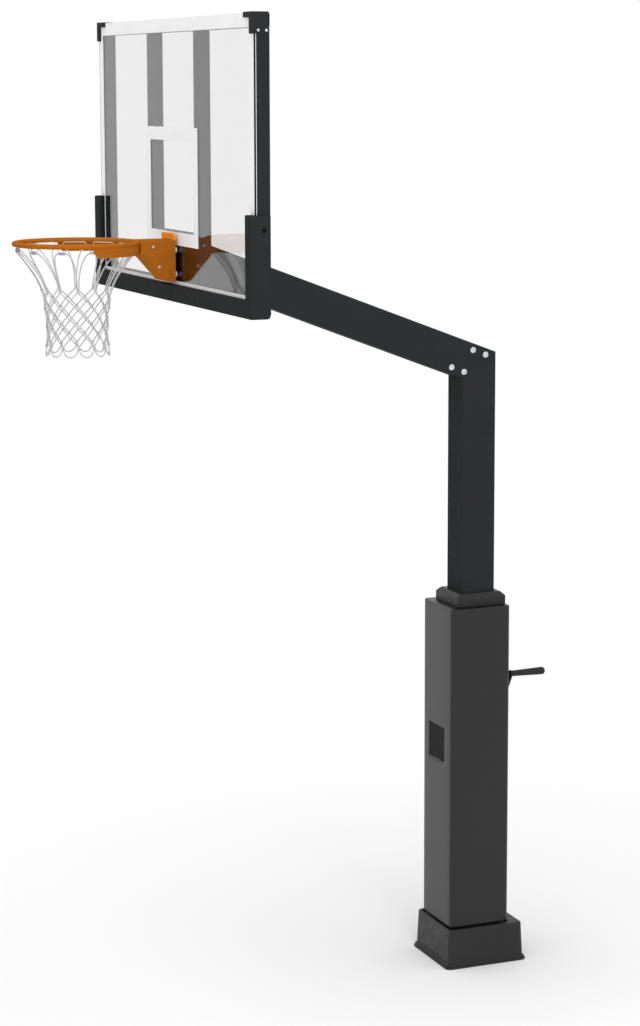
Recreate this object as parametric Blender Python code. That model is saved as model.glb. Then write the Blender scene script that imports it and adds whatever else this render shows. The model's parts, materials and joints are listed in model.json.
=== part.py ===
"""An in-ground basketball stand with a crank, a framed glass backboard and a breakaway ring.

Metres, +Z up, the ring side at -Y. The origin is the middle of the base plate's underside.
The stand is modelled at the top of its travel, with the ring at its full height.
"""

import math

import bmesh
import bpy
from mathutils import Matrix, Vector

GAP = 0.0003

# Base
PLATE_HALF = 0.150
PLATE_T = 0.016
ANCHOR_AT = 0.125
ANCHOR_R = 0.010
NUT_R = 0.0165
NUT_H = 0.016
STUD_TOP = 0.058
COVER_Y = 0.004
COVER_TOP = 0.1645
COVER_RECESS = 0.1545
COVER_WALL = 0.005

# Outer pole and its pad
OUTER_HALF = 0.100
OUTER_WALL = 0.005
OUTER_R = 0.012
OUTER_TOP = 1.535
PAD_HALF_X = 0.144
PAD_FRONT = -0.1507
PAD_BACK = 0.1183
PAD_R = 0.022
PAD_BOTTOM = 0.1695
PAD_TOP = 1.5195
PAD_SLIT = 0.0015
WINDOW_HALF_X = 0.0753
WINDOW_BOTTOM = 0.863
WINDOW_TOP = 1.008
PANE_T = 0.003
COLLAR_HALF = 0.1095
COLLAR_SKIRT_Z = 1.5205
COLLAR_EDGE_Z = 1.5555
COLLAR_TOP_Z = 1.573
COLLAR_SLEEVE_Z = 1.440

# Mast: inner pole and arm are the same square tube, mitred at the knee
MAST_HALF = 0.075
MAST_WALL = 0.005
MAST_R = 0.010
MAST_BOTTOM = 0.820
ARM_SLOPE = math.radians(20.7)
KNEE_BACK_Z = 2.568
MITRE = (math.pi / 2 - ARM_SLOPE) / 2
KNEE_FRONT_Z = KNEE_BACK_Z - 2 * MAST_HALF * math.tan(MITRE)
STUB_REACH = 0.135
KNEE_BOLT_ROWS = (0.024, 0.084)
KNEE_BOLT_T = 0.048
KNEE_BOLT_R = 0.008
KNEE_HEAD_R = 0.0122
TRAVEL = 0.750

# Crank, bevel gears and lead screw
CRANK_Z = 1.084
SHAFT_R = 0.010
SHAFT_FRONT = 0.0105
SHAFT_BACK = 0.152
CRANK_ARM_Y = (0.142, 0.150)
CRANK_LENGTH = 0.1585
CRANK_HUB_R = 0.018
CRANK_END_R = 0.0145
CRANK_TILT = math.radians(33)
GRIP_BACK = 0.305
GRIP_PIN_R = 0.004
GEAR_TEETH = 16
GEAR_PITCH_R = 0.022
GEAR_ADDENDUM = 0.0022
GEAR_DEDENDUM = 0.0030
GEAR_FACE = 0.62
GEAR_BACKING = 0.004
SCREW_R = 0.010
SCREW_BOTTOM = 0.200
SEAT_HALF = 0.023
SEAT_T = 0.010
BRACKET_DROP = 0.0348
BRACKET_WEB = 0.010
BRACKET_DEPTH = 0.028
SLOT_HALF_X = 0.014
SLOT_CLEARANCE = 0.042
NUT_PLATE_Z = 0.985

# Backboard
GLASS_FRONT = -1.290
GLASS_T = 0.0095
GLASS_BACK = GLASS_FRONT + GLASS_T
BOARD_HALF = 0.9144
BOARD_BOTTOM = 2.8332
BOARD_TOP = 3.900
TUBE = 0.0508
TUBE_R = 0.004
TUBE_WALL = 0.003
FRAME_FRONT = GLASS_BACK + GAP
FRAME_BACK = FRAME_FRONT + TUBE
FRAME_Y = (FRAME_FRONT + FRAME_BACK) / 2
UPRIGHT_X = 0.277
CROSS_TOP = 3.094
END_PLATE_T = 0.010
END_PLATE_HALF = 0.120
ARM_END = FRAME_BACK + GAP + END_PLATE_T + GAP

# Corner brackets and the pad along the bottom of the board
BRACKET_CLEAR = 0.0004
BRACKET_WALL = 0.004
CORNER_FRONT = -1.300
CORNER_REACH = 0.085
CORNER_LIP = 0.017
CORNER_LEG = 0.0245
CORNER_DROP = 0.0745
CORNER_BACK = -1.235
PAD_OUT = 0.0246
PAD_LIP_FRONT = -1.315
PAD_LIP_TOP = 2.879
PAD_UNDER = 2.8172
PAD_REAR = -1.2388
PAD_HOLE_R = 0.009
PAD_HOLE_Y = -1.2628
PAD_HOLE_Z = 3.1346
RISER_TOP = 3.1885
RISER_INNER = 0.874

# Ring
RIM_Z = 3.0475
RIM_Y = -1.678
RIM_R = 0.2348
ROD_R = 0.0098
BAND_OUT = 0.2415
BAND_IN = 0.2365
BAND_BOTTOM = 3.0035
BAND_TOP = 3.044
BAND_END = math.radians(-0.7)
BAND_CUT = 0.018
BAND_CUT_RISE = 0.020
CLIPS = 12
CLIP_R = 0.2312
CLIP_WIRE = 0.0016
CLIP_HALF = 0.0064
CLIP_DROP = 0.0325
HINGE_Y = -1.328
HINGE_Z = 2.917
PIN_R = 0.004
BOX_HALF = 0.0742
BOX_WALL = 0.004
BOX_TOP = 3.054
BOX_BOTTOM = 2.8915
BOX_BACK = -1.3025
BACK_PLATE_BACK = -1.302
BACK_PLATE_T = 0.006
BACK_PLATE_HALF = 0.0695
TAB_HEIGHT = 0.024
TAB_LEAN = 0.003
TAB_R = 0.008
SPACER_R = 0.0122
RING_BOLT_X = 0.057
RING_BOLT_Z = (2.923, 3.016)
RING_BOLT_R = 0.005
SPRING_X = 0.030
SPRING_Z = 3.000
SPRING_R = 0.0105
WIRE_R = 0.00125
SPRING_TURNS = 6
SPRING_PLATE_Y = (-1.3455, -1.3415)
SPRING_HEAD_Y = -1.400

# Net
NET_TOP_Z = 3.0233
NET_TOP_R = 0.2300
NET_FIRST_Z = 2.8825
NET_FIRST_R = 0.129
NET_ROW = 0.0347
NET_ROWS = 7
NET_LOOP_DROP = 0.0545
CORD = 0.0050

MATERIALS = {
    "black_steel": ((0.026, 0.030, 0.033), 0.42, 0.0),
    "pole_vinyl": ((0.085, 0.085, 0.085), 0.60, 0.0),
    "cover_plastic": ((0.045, 0.045, 0.046), 0.55, 0.0),
    "pad_foam": ((0.030, 0.033, 0.035), 0.55, 0.0),
    "orange_steel": ((0.62, 0.18, 0.012), 0.42, 0.0),
    "zinc_steel": ((0.62, 0.63, 0.64), 0.35, 0.9),
    "bare_steel": ((0.45, 0.46, 0.47), 0.40, 0.9),
    "bronze": ((0.52, 0.35, 0.16), 0.40, 0.9),
    "nylon": ((0.80, 0.80, 0.78), 0.45, 0.0),
    "rubber": ((0.022, 0.022, 0.022), 0.70, 0.0),
    "smoked_acrylic": ((0.020, 0.022, 0.024), 0.15, 0.0),
    "glass": ((0.82, 0.86, 0.86), 0.05, 0.0),
    "cord": ((0.80, 0.80, 0.80), 0.80, 0.0),
}


def clear_scene():
    for obj in list(bpy.data.objects):
        bpy.data.objects.remove(obj, do_unlink=True)


def material(name):
    found = bpy.data.materials.get(name)
    if found:
        return found
    colour, roughness, metallic = MATERIALS[name]
    made = bpy.data.materials.new(name)
    made.use_nodes = True
    shader = made.node_tree.nodes["Principled BSDF"]
    shader.inputs["Base Color"].default_value = (*colour, 1.0)
    shader.inputs["Roughness"].default_value = roughness
    shader.inputs["Metallic"].default_value = metallic
    return made


def add_object(name, bm, material_name):
    """A new object from a bmesh, with its faces pointing out and round faces smooth."""
    bmesh.ops.recalc_face_normals(bm, faces=bm.faces)
    if bm.calc_volume(signed=True) < 0:
        bmesh.ops.reverse_faces(bm, faces=bm.faces)
    mesh = bpy.data.meshes.new(name)
    bm.to_mesh(mesh)
    bm.free()
    mesh.shade_smooth()
    mesh.set_sharp_from_angle(angle=math.radians(35))
    mesh.materials.append(material(material_name))
    obj = bpy.data.objects.new(name, mesh)
    bpy.context.scene.collection.objects.link(obj)
    return obj


def bridge(bm, first, second):
    count = len(first)
    for i in range(count):
        j = (i + 1) % count
        bm.faces.new((first[i], first[j], second[j], second[i]))


def loft(name, loops, material_name, ring=False):
    """A solid through loops with equal numbers of points: capped, or a ring that meets itself."""
    bm = bmesh.new()
    rows = [[bm.verts.new(point) for point in loop] for loop in loops]
    for first, second in zip(rows, rows[1:]):
        bridge(bm, first, second)
    if ring:
        bridge(bm, rows[-1], rows[0])
    else:
        bm.faces.new(rows[0])
        bm.faces.new(rows[-1])
    return add_object(name, bm, material_name)


def rounded_rectangle(half_x, half_y, radius, steps=3):
    """Points round a rectangle with round corners, anticlockwise from the corner at +X +Y."""
    points = []
    for quarter, (sx, sy) in enumerate(((1, 1), (-1, 1), (-1, -1), (1, -1))):
        for step in range(steps + 1):
            turn = math.pi / 2 * (quarter + step / steps)
            x = sx * (half_x - radius) + radius * math.cos(turn)
            y = sy * (half_y - radius) + radius * math.sin(turn)
            points.append((x, y))
    return points


def square_loop(half, radius, z, centre_y=0.0, half_y=None):
    outline = rounded_rectangle(half, half_y or half, radius)
    return [Vector((x, y + centre_y, z)) for x, y in outline]


def axis_matrix(axis, centre):
    """Carries +Z at the origin to an axis through a centre."""
    turn = Vector((0, 0, 1)).rotation_difference(Vector(axis))
    return Matrix.Translation(centre) @ turn.to_matrix().to_4x4()


def turned(name, profile, axis, centre, material_name, segments=20, ring=False):
    """A lathe shape from (radius, height) points along an axis."""
    place = axis_matrix(axis, centre)
    angles = [2 * math.pi * (i + 0.5) / segments for i in range(segments)]
    loops = [
        [place @ Vector((r * math.cos(a), r * math.sin(a), h)) for a in angles]
        for r, h in profile
    ]
    return loft(name, loops, material_name, ring)


def box(name, low, high, material_name, bevel=0.0, segments=1):
    bm = bmesh.new()
    size = Vector(high) - Vector(low)
    middle = (Vector(high) + Vector(low)) / 2
    bmesh.ops.create_cube(bm, size=1.0)
    bmesh.ops.scale(bm, vec=size, verts=bm.verts)
    bmesh.ops.translate(bm, vec=middle, verts=bm.verts)
    if bevel:
        bmesh.ops.bevel(
            bm, geom=bm.edges[:], offset=bevel, segments=segments, profile=0.5, affect="EDGES"
        )
    return add_object(name, bm, material_name)


def plate_yz(name, outline, low_x, high_x, material_name):
    """An outline of (y, z) points made solid between two x positions."""
    loops = [[Vector((x, y, z)) for y, z in outline] for x in (low_x, high_x)]
    return loft(name, loops, material_name)


def boolean(obj, other, operation):
    other.hide_render = True
    other.display_type = "WIRE"
    modifier = obj.modifiers.new(f"{operation.lower()}_{other.name}", "BOOLEAN")
    modifier.operation = operation
    modifier.object = other
    modifier.solver = "EXACT"


def cut(obj, *cutters):
    for cutter in cutters:
        boolean(obj, cutter, "DIFFERENCE")


def fuse(obj, *others):
    for other in others:
        boolean(obj, other, "UNION")


def rod_cutter(name, radius, axis, start, end, segments=20):
    """A round cutter from a start point along an axis for a length."""
    return turned(name, ((radius, 0), (radius, end)), axis, start, "bare_steel", segments)


def tube_x(name, x0, x1, z, wall=TUBE_WALL):
    """A frame tube along X, open at its ends."""
    outer = rounded_rectangle(TUBE / 2, TUBE / 2, TUBE_R)
    inner = rounded_rectangle(TUBE / 2 - wall, TUBE / 2 - wall, TUBE_R / 2)
    rows = ((outer, x0), (outer, x1), (inner, x1), (inner, x0))
    loops = [[Vector((x, FRAME_Y + a, z + b)) for a, b in outline] for outline, x in rows]
    return loft(name, loops, "black_steel", ring=True)


def tube_z(name, x, z0, z1, wall=TUBE_WALL):
    """A frame tube along Z, open at its ends."""
    outer = rounded_rectangle(TUBE / 2, TUBE / 2, TUBE_R)
    inner = rounded_rectangle(TUBE / 2 - wall, TUBE / 2 - wall, TUBE_R / 2)
    rows = ((outer, z0), (outer, z1), (inner, z1), (inner, z0))
    loops = [[Vector((x + a, FRAME_Y + b, z)) for a, b in outline] for outline, z in rows]
    return loft(name, loops, "black_steel", ring=True)


def base_plate():
    """The flange that the outer pole is welded to, with a hole for each anchor bolt."""
    loops = [square_loop(PLATE_HALF, 0.010, z) for z in (0.0, PLATE_T)]
    plate = loft("base_plate", loops, "black_steel")
    for index, (x, y) in enumerate(anchor_places()):
        hole = rod_cutter(f"anchor_hole_{index}", ANCHOR_R + 0.0015, (0, 0, 1), (x, y, -0.01), 0.04, 12)
        cut(plate, hole)
    return plate


def anchor_places():
    return [(sx * ANCHOR_AT, sy * ANCHOR_AT) for sx in (-1, 1) for sy in (-1, 1)]


def anchor_bolts():
    """Studs from the ground with a washer and a hex nut each."""
    bolts = []
    washer_z = PLATE_T + GAP
    nut_z = washer_z + 0.003
    profile = (
        (ANCHOR_R, 0.0005),
        (ANCHOR_R, washer_z),
        (0.020, washer_z),
        (0.020, nut_z),
        (NUT_R, nut_z),
        (NUT_R, nut_z + NUT_H),
        (ANCHOR_R, nut_z + NUT_H),
        (ANCHOR_R, STUD_TOP - 0.002),
        (ANCHOR_R - 0.002, STUD_TOP),
    )
    for index, (x, y) in enumerate(anchor_places()):
        name = f"anchor_bolt_{index + 1}"
        bolts.append(turned(name, profile, (0, 0, 1), (x, y, 0), "zinc_steel", 12))
    return bolts


def outer_pole():
    """The square post, with a window slot at the front and a hole for the crank at the back."""
    inner = OUTER_HALF - OUTER_WALL
    foot = PLATE_T + GAP
    loops = [
        square_loop(OUTER_HALF, OUTER_R, foot),
        square_loop(OUTER_HALF, OUTER_R, OUTER_TOP),
        square_loop(inner, OUTER_R - OUTER_WALL, OUTER_TOP),
        square_loop(inner, OUTER_R - OUTER_WALL, foot),
    ]
    pole = loft("outer_pole", loops, "black_steel", ring=True)
    slot = box("pole_slot", (-0.045, -0.120, 0.880), (0.045, -0.080, 0.990), "black_steel")
    hole = rod_cutter("crank_hole", 0.0163, (0, 1, 0), (0, 0.08, CRANK_Z), 0.04)
    cut(pole, slot, hole)
    return pole


def base_cover():
    """A skirt with a stepped lip at the ground and a sunken top that closes round the pole."""
    hole = OUTER_HALF + 0.0008
    below = COVER_RECESS - COVER_WALL
    # Half width, half depth, height and corner radius of each loop.
    skirt = (
        (0.1785, 0.1850, 0.0005, 0.024),
        (0.1785, 0.1850, 0.0085, 0.024),
        (0.1755, 0.1805, 0.0105, 0.022),
        (0.1755, 0.1805, 0.0175, 0.022),
        (0.1710, 0.1725, 0.0200, 0.018),
        (0.1665, 0.1675, COVER_TOP - 0.0045, 0.018),
        (0.1652, 0.1662, COVER_TOP - 0.0012, 0.017),
        (0.1622, 0.1632, COVER_TOP, 0.015),
        (0.1600, 0.1610, COVER_TOP - 0.0006, 0.013),
        (0.1590, 0.1600, COVER_RECESS, 0.013),
    )
    inside = (
        (0.1570, 0.1580, below, 0.012),
        (0.1655, 0.1670, 0.0005, 0.014),
    )
    loops = [cover_loop(*row) for row in skirt]
    loops += [square_loop(hole, OUTER_R, z) for z in (COVER_RECESS, below)]
    loops += [cover_loop(*row) for row in inside]
    return loft("base_cover", loops, "cover_plastic", ring=True)


def cover_loop(half_x, half_y, z, radius):
    """A loop of the cover, which reaches further to the back than to the front."""
    return square_loop(half_x, radius, z, COVER_Y, half_y)


def pole_pad():
    """Foam under vinyl on all four sides, closed by a slit at the back."""
    centre = (PAD_FRONT + PAD_BACK) / 2
    half_y = (PAD_BACK - PAD_FRONT) / 2
    outer = (
        (0.003, PAD_BOTTOM),
        (0.0, PAD_BOTTOM + 0.003),
        (0.0, PAD_TOP - 0.004),
        (0.0012, PAD_TOP - 0.0012),
        (0.004, PAD_TOP),
    )
    loops = [
        square_loop(PAD_HALF_X - inset, PAD_R - inset, z, centre, half_y - inset)
        for inset, z in outer
    ]
    bore = OUTER_HALF + 0.0005
    loops += [square_loop(bore, OUTER_R, z) for z in (PAD_TOP, PAD_BOTTOM)]
    pad = loft("pole_pad", loops, "pole_vinyl", ring=True)
    window = box(
        "pad_window",
        (-WINDOW_HALF_X, PAD_FRONT - 0.01, WINDOW_BOTTOM),
        (WINDOW_HALF_X, -OUTER_HALF + 0.01, WINDOW_TOP),
        "pole_vinyl",
    )
    slit = box(
        "pad_slit",
        (-PAD_SLIT, OUTER_HALF - 0.01, PAD_BOTTOM - 0.01),
        (PAD_SLIT, PAD_BACK + 0.01, PAD_TOP + 0.01),
        "pole_vinyl",
    )
    hole = rod_cutter("pad_crank_hole", 0.030, (0, 1, 0), (0, 0.08, CRANK_Z), 0.06)
    cut(pad, window, slit, hole)
    return pad


def height_window():
    """The dark pane in the front of the pad."""
    return box(
        "height_window",
        (-WINDOW_HALF_X + GAP, PAD_FRONT + PANE_T, WINDOW_BOTTOM + GAP),
        (WINDOW_HALF_X - GAP, PAD_FRONT + 2 * PANE_T, WINDOW_TOP - GAP),
        "smoked_acrylic",
    )


def collar():
    """The bush that caps the outer pole and guides the inner one."""
    skirt = OUTER_HALF + 0.0004
    bore = MAST_HALF + 0.0008
    sleeve = OUTER_HALF - OUTER_WALL - 0.0005
    cap = OUTER_TOP + 0.0005
    profile = (
        (COLLAR_HALF, COLLAR_SKIRT_Z, 0.014),
        (COLLAR_HALF, COLLAR_EDGE_Z, 0.014),
        (COLLAR_HALF - 0.004, COLLAR_EDGE_Z + 0.005, 0.013),
        (COLLAR_HALF - 0.017, COLLAR_TOP_Z, 0.012),
        (bore, COLLAR_TOP_Z, MAST_R),
        (bore, COLLAR_SLEEVE_Z, MAST_R),
        (sleeve, COLLAR_SLEEVE_Z, 0.007),
        (sleeve, cap, 0.007),
        (skirt, cap, OUTER_R),
        (skirt, COLLAR_SKIRT_Z, OUTER_R),
    )
    loops = [square_loop(half, radius, z) for half, z, radius in profile]
    return loft("collar", loops, "cover_plastic", ring=True)


def crank_bush():
    """A flanged bush in the pole's back wall."""
    bore = SHAFT_R + 0.0004
    profile = (
        (0.016, 0.0868),
        (0.016, OUTER_HALF + GAP),
        (0.027, OUTER_HALF + GAP),
        (0.027, 0.107),
        (0.018, 0.110),
        (0.018, 0.134),
        (bore, 0.134),
        (bore, 0.0868),
    )
    return turned("crank_bush", profile, (0, 1, 0), (0, 0, CRANK_Z), "bronze", ring=True)


def gear_bracket():
    """Carries the screw's thrust bearing from a flange on the pole's back wall."""
    top = CRANK_Z - BRACKET_DROP
    wall = OUTER_HALF - OUTER_WALL - GAP
    seat = turned(
        "gear_bracket",
        ((SEAT_HALF, top - SEAT_T), (SEAT_HALF, top)),
        (0, 0, 1),
        (0, 0, 0),
        "black_steel",
    )
    web = box(
        "bracket_web",
        (-BRACKET_WEB, 0.015, top - BRACKET_DEPTH),
        (BRACKET_WEB, wall - 0.004, top - 0.0005),
        "black_steel",
    )
    flange = box(
        "bracket_flange",
        (-0.040, wall - 0.008, top - BRACKET_DEPTH - 0.006),
        (0.040, wall, CRANK_Z + 0.030),
        "black_steel",
    )
    fuse(seat, web, flange)
    screw_hole = rod_cutter("bracket_screw_hole", SCREW_R + 0.001, (0, 0, 1), (0, 0, top - 0.05), 0.07)
    bush_hole = rod_cutter("bracket_bush_hole", 0.0163, (0, 1, 0), (0, 0.07, CRANK_Z), 0.05)
    cut(seat, screw_hole, bush_hole)
    return seat


def thrust_bearing():
    top = CRANK_Z - gear_back() - GAP
    bottom = CRANK_Z - BRACKET_DROP + GAP
    bore = SCREW_R + 0.0005
    profile = ((0.018, bottom), (0.018, top), (bore, top), (bore, bottom))
    return turned("thrust_bearing", profile, (0, 0, 1), (0, 0, 0), "bare_steel", ring=True)


def gear_back():
    """Distance from the crossing of the two gear axes to a gear's flat back."""
    return GEAR_PITCH_R + GEAR_DEDENDUM * math.sqrt(0.5) + GEAR_BACKING


def gear_loop(place, turn, root, tip):
    """Four points to a tooth: a root and a tip corner on each flank, as (radius, height)."""
    corners = ((-0.26, root), (-0.10, tip), (0.10, tip), (0.26, root))
    points = []
    for tooth in range(GEAR_TEETH):
        for share, (radius, height) in corners:
            angle = 2 * math.pi * (tooth + turn + share) / GEAR_TEETH
            flat = Vector((radius * math.cos(angle), radius * math.sin(angle), height))
            points.append(place @ flat)
    return points


def bevel_gear(name, axis, turn, bore):
    """A mitre gear whose teeth shrink towards the crossing of the crank's and the screw's axes."""
    place = axis_matrix(axis, (0, 0, CRANK_Z))
    outward = GEAR_ADDENDUM * math.sqrt(0.5)
    inward = GEAR_DEDENDUM * math.sqrt(0.5)
    tip = (GEAR_PITCH_R + outward, GEAR_PITCH_R - outward)
    root = (GEAR_PITCH_R - inward, GEAR_PITCH_R + inward)
    small_tip = (tip[0] * GEAR_FACE, tip[1] * GEAR_FACE)
    small_root = (root[0] * GEAR_FACE, root[1] * GEAR_FACE)
    front = (bore, small_tip[1] + 0.002)
    rim_back = (root[0], gear_back())
    hub_back = (bore, gear_back())
    sections = (
        (front, front),
        (small_root, small_tip),
        (root, tip),
        (rim_back, rim_back),
        (hub_back, hub_back),
    )
    loops = [gear_loop(place, turn, low, high) for low, high in sections]
    return loft(name, loops, "bare_steel", ring=True)


def crank_shaft():
    profile = (
        (SHAFT_R - 0.001, SHAFT_FRONT),
        (SHAFT_R, SHAFT_FRONT + 0.001),
        (SHAFT_R, SHAFT_BACK - 0.001),
        (SHAFT_R - 0.001, SHAFT_BACK),
    )
    return turned("crank_shaft", profile, (0, 1, 0), (0, 0, CRANK_Z), "zinc_steel")


def grip_place():
    return (CRANK_LENGTH * math.sin(CRANK_TILT), CRANK_Z + CRANK_LENGTH * math.cos(CRANK_TILT))


def crank_arm():
    """A flat arm with a round boss at each end and the grip's pin riveted in it."""
    x, z = grip_place()
    along = Vector((math.sin(CRANK_TILT), 0, math.cos(CRANK_TILT)))
    across = Vector((math.cos(CRANK_TILT), 0, -math.sin(CRANK_TILT)))
    ends = ((Vector((x, 0, z)), CRANK_END_R, 0.0), (Vector((0, 0, CRANK_Z)), CRANK_HUB_R, math.pi))
    outline = []
    for centre, radius, start in ends:
        for step in range(9):
            turn = start + math.pi * step / 8
            outline.append(centre + radius * (math.cos(turn) * across + math.sin(turn) * along))
    loops = [[point + Vector((0, y, 0)) for point in outline] for y in CRANK_ARM_Y]
    arm = loft("crank_arm", loops, "black_steel")
    pin = turned(
        "grip_pin",
        ((GRIP_PIN_R, CRANK_ARM_Y[0] + 0.002), (GRIP_PIN_R, GRIP_BACK - 0.012)),
        (0, 1, 0),
        (x, 0, z),
        "black_steel",
        12,
    )
    hole = rod_cutter("crank_arm_hole", SHAFT_R + GAP, (0, 1, 0), (0, 0.13, CRANK_Z), 0.04)
    fuse(arm, pin)
    cut(arm, hole)
    return arm


def crank_grip():
    """A tapered grip that turns on its pin."""
    x, z = grip_place()
    bore = GRIP_PIN_R + 0.0004
    start = CRANK_ARM_Y[1] + 0.0005
    profile = (
        (bore, start),
        (0.0112, start),
        (0.0120, start + 0.003),
        (0.0118, start + 0.030),
        (0.0135, start + 0.085),
        (0.0152, GRIP_BACK - 0.016),
        (0.0146, GRIP_BACK - 0.007),
        (0.0110, GRIP_BACK - 0.0015),
        (0.0050, GRIP_BACK),
        (0.0010, GRIP_BACK - 0.0002),
        (0.0010, GRIP_BACK - 0.0080),
        (bore, GRIP_BACK - 0.0110),
    )
    return turned("crank_grip", profile, (0, 1, 0), (x, 0, z), "rubber", 16, ring=True)


def lead_screw():
    """Hangs from the gear on its thrust bearing, with a stop collar at its foot."""
    top = CRANK_Z - 0.0105
    profile = (
        (0.007, SCREW_BOTTOM - 0.006),
        (0.014, SCREW_BOTTOM - 0.005),
        (0.014, SCREW_BOTTOM),
        (SCREW_R, SCREW_BOTTOM + 0.001),
        (SCREW_R, top - 0.001),
        (SCREW_R - 0.001, top),
    )
    return turned("lead_screw", profile, (0, 0, 1), (0, 0, 0), "bare_steel")


def knee_height(t):
    """Height of the mitre plane where the tube's own depth coordinate is t."""
    return KNEE_FRONT_Z + (t + MAST_HALF) * math.tan(MITRE)


def pole_loop(half, radius, z=None, lower=0.0):
    """A loop of the inner pole: level at z, or on the mitre plane and lower by some amount."""
    outline = rounded_rectangle(half, half, radius)
    if z is None:
        return [Vector((x, t, knee_height(t) - lower)) for x, t in outline]
    return [Vector((x, t, z)) for x, t in outline]


def arm_point(x, t, along):
    """A point of the arm's tube at a distance from the mitre plane."""
    return Vector((x, t - along * math.cos(ARM_SLOPE), knee_height(t) + along * math.sin(ARM_SLOPE)))


def arm_loop(half, radius, along=None):
    """A loop of the arm: at a distance from the mitre plane, or on the upright end plane."""
    outline = rounded_rectangle(half, half, radius)
    if along is not None:
        return [arm_point(x, t, along) for x, t in outline]
    reach = [(x, t, (t - ARM_END) / math.cos(ARM_SLOPE)) for x, t in outline]
    return [arm_point(*values) for values in reach]


def inner_pole():
    """The lower leg of the mast, slotted at the back so that it straddles the gear bracket."""
    inner = MAST_HALF - MAST_WALL
    loops = [
        pole_loop(MAST_HALF, MAST_R, MAST_BOTTOM),
        pole_loop(MAST_HALF, MAST_R),
        pole_loop(inner, MAST_R - MAST_WALL),
        pole_loop(inner, MAST_R - MAST_WALL, MAST_BOTTOM),
    ]
    pole = loft("inner_pole", loops, "black_steel", ring=True)
    slot = box(
        "pole_back_slot",
        (-SLOT_HALF_X, 0.050, MAST_BOTTOM - 0.01),
        (SLOT_HALF_X, 0.090, CRANK_Z + TRAVEL + SLOT_CLEARANCE),
        "black_steel",
    )
    cut(pole, slot)
    return pole


def arm():
    inner = MAST_HALF - MAST_WALL
    loops = [
        arm_loop(MAST_HALF, MAST_R, GAP),
        arm_loop(MAST_HALF, MAST_R),
        arm_loop(inner, MAST_R - MAST_WALL),
        arm_loop(inner, MAST_R - MAST_WALL, GAP),
    ]
    tube = loft("arm", loops, "black_steel", ring=True)
    cut(tube, *knee_bolt_holes("arm"))
    return tube


def knee_stub():
    """A bent sleeve inside both legs, which the knee bolts pass through."""
    outer = MAST_HALF - MAST_WALL - 0.0006
    inner = outer - 0.005
    loops = [
        pole_loop(outer, 0.0045, lower=STUB_REACH),
        pole_loop(outer, 0.0045),
        arm_loop(outer, 0.0045, STUB_REACH),
        arm_loop(inner, 0.0030, STUB_REACH),
        pole_loop(inner, 0.0030),
        pole_loop(inner, 0.0030, lower=STUB_REACH),
    ]
    stub = loft("knee_stub", loops, "black_steel", ring=True)
    cut(stub, *knee_bolt_holes("stub"))
    return stub


def knee_bolt_places():
    places = []
    for t in (-KNEE_BOLT_T, KNEE_BOLT_T):
        for row in KNEE_BOLT_ROWS:
            point = arm_point(0, t, row)
            places.append((point.y, point.z))
    return places


def knee_bolt_holes(owner):
    return [
        rod_cutter(f"{owner}_knee_hole_{i}", KNEE_BOLT_R + GAP, (1, 0, 0), (-0.1, y, z), 0.2, 12)
        for i, (y, z) in enumerate(knee_bolt_places())
    ]


def knee_bolts():
    """Through bolts with a domed head at each side of the arm."""
    face = MAST_HALF + GAP
    half = (
        (KNEE_BOLT_R, face),
        (KNEE_HEAD_R, face),
        (KNEE_HEAD_R, face + 0.0015),
        (KNEE_HEAD_R * 0.85, face + 0.0045),
        (KNEE_HEAD_R * 0.45, face + 0.0068),
    )
    profile = [(r, -h) for r, h in reversed(half)] + list(half)
    bolts = []
    for index, (y, z) in enumerate(knee_bolt_places()):
        name = f"knee_bolt_{index + 1}"
        bolts.append(turned(name, profile, (1, 0, 0), (0, y, z), "zinc_steel", 12))
    return bolts


def screw_nut():
    """A plate across the inner pole with a boss for the screw."""
    half = MAST_HALF - MAST_WALL - GAP
    loops = [
        [Vector((x, y, z)) for x, y in rounded_rectangle(half, half, 0.0045, 2)]
        for z in (NUT_PLATE_Z, NUT_PLATE_Z + 0.012)
    ]
    plate = loft("screw_nut", loops, "bronze")
    boss = turned(
        "nut_boss",
        ((0.020, NUT_PLATE_Z - 0.028), (0.020, NUT_PLATE_Z + 0.004)),
        (0, 0, 1),
        (0, 0, 0),
        "bronze",
    )
    bore = rod_cutter("nut_bore", SCREW_R + 0.0004, (0, 0, 1), (0, 0, NUT_PLATE_Z - 0.05), 0.1)
    fuse(plate, boss)
    cut(plate, bore)
    return plate


def lower_guide():
    """A nylon sleeve round the foot of the inner pole, open at the back where the slot is."""
    bore = MAST_HALF + GAP
    outer = OUTER_HALF - OUTER_WALL - 0.0008
    z0, z1 = MAST_BOTTOM + 0.002, MAST_BOTTOM + 0.080
    loops = [
        square_loop(outer, 0.006, z0),
        square_loop(outer, 0.006, z1),
        square_loop(bore, MAST_R, z1),
        square_loop(bore, MAST_R, z0),
    ]
    guide = loft("lower_guide", loops, "nylon", ring=True)
    notch = box("guide_notch", (-SLOT_HALF_X, 0.05, z0 - 0.01), (SLOT_HALF_X, 0.12, z1 + 0.01), "nylon")
    cut(guide, notch)
    return guide


def arm_end_plate():
    """Welded across the arm's end and bolted to the cross tube and the bottom tube."""
    low = (-END_PLATE_HALF, FRAME_BACK + GAP, BOARD_BOTTOM + 0.004)
    high = (END_PLATE_HALF, FRAME_BACK + GAP + END_PLATE_T, CROSS_TOP - 0.003)
    plate = box("arm_end_plate", low, high, "black_steel")
    heads = []
    for sx in (-1, 1):
        for z in (BOARD_BOTTOM + TUBE / 2, CROSS_TOP - TUBE / 2):
            centre = (sx * 0.098, high[1] - 0.002, z)
            name = f"end_plate_head_{len(heads)}"
            heads.append(turned(name, ((0.011, 0), (0.011, 0.010)), (0, 1, 0), centre, "zinc_steel", 6))
    fuse(plate, *heads)
    return plate


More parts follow.
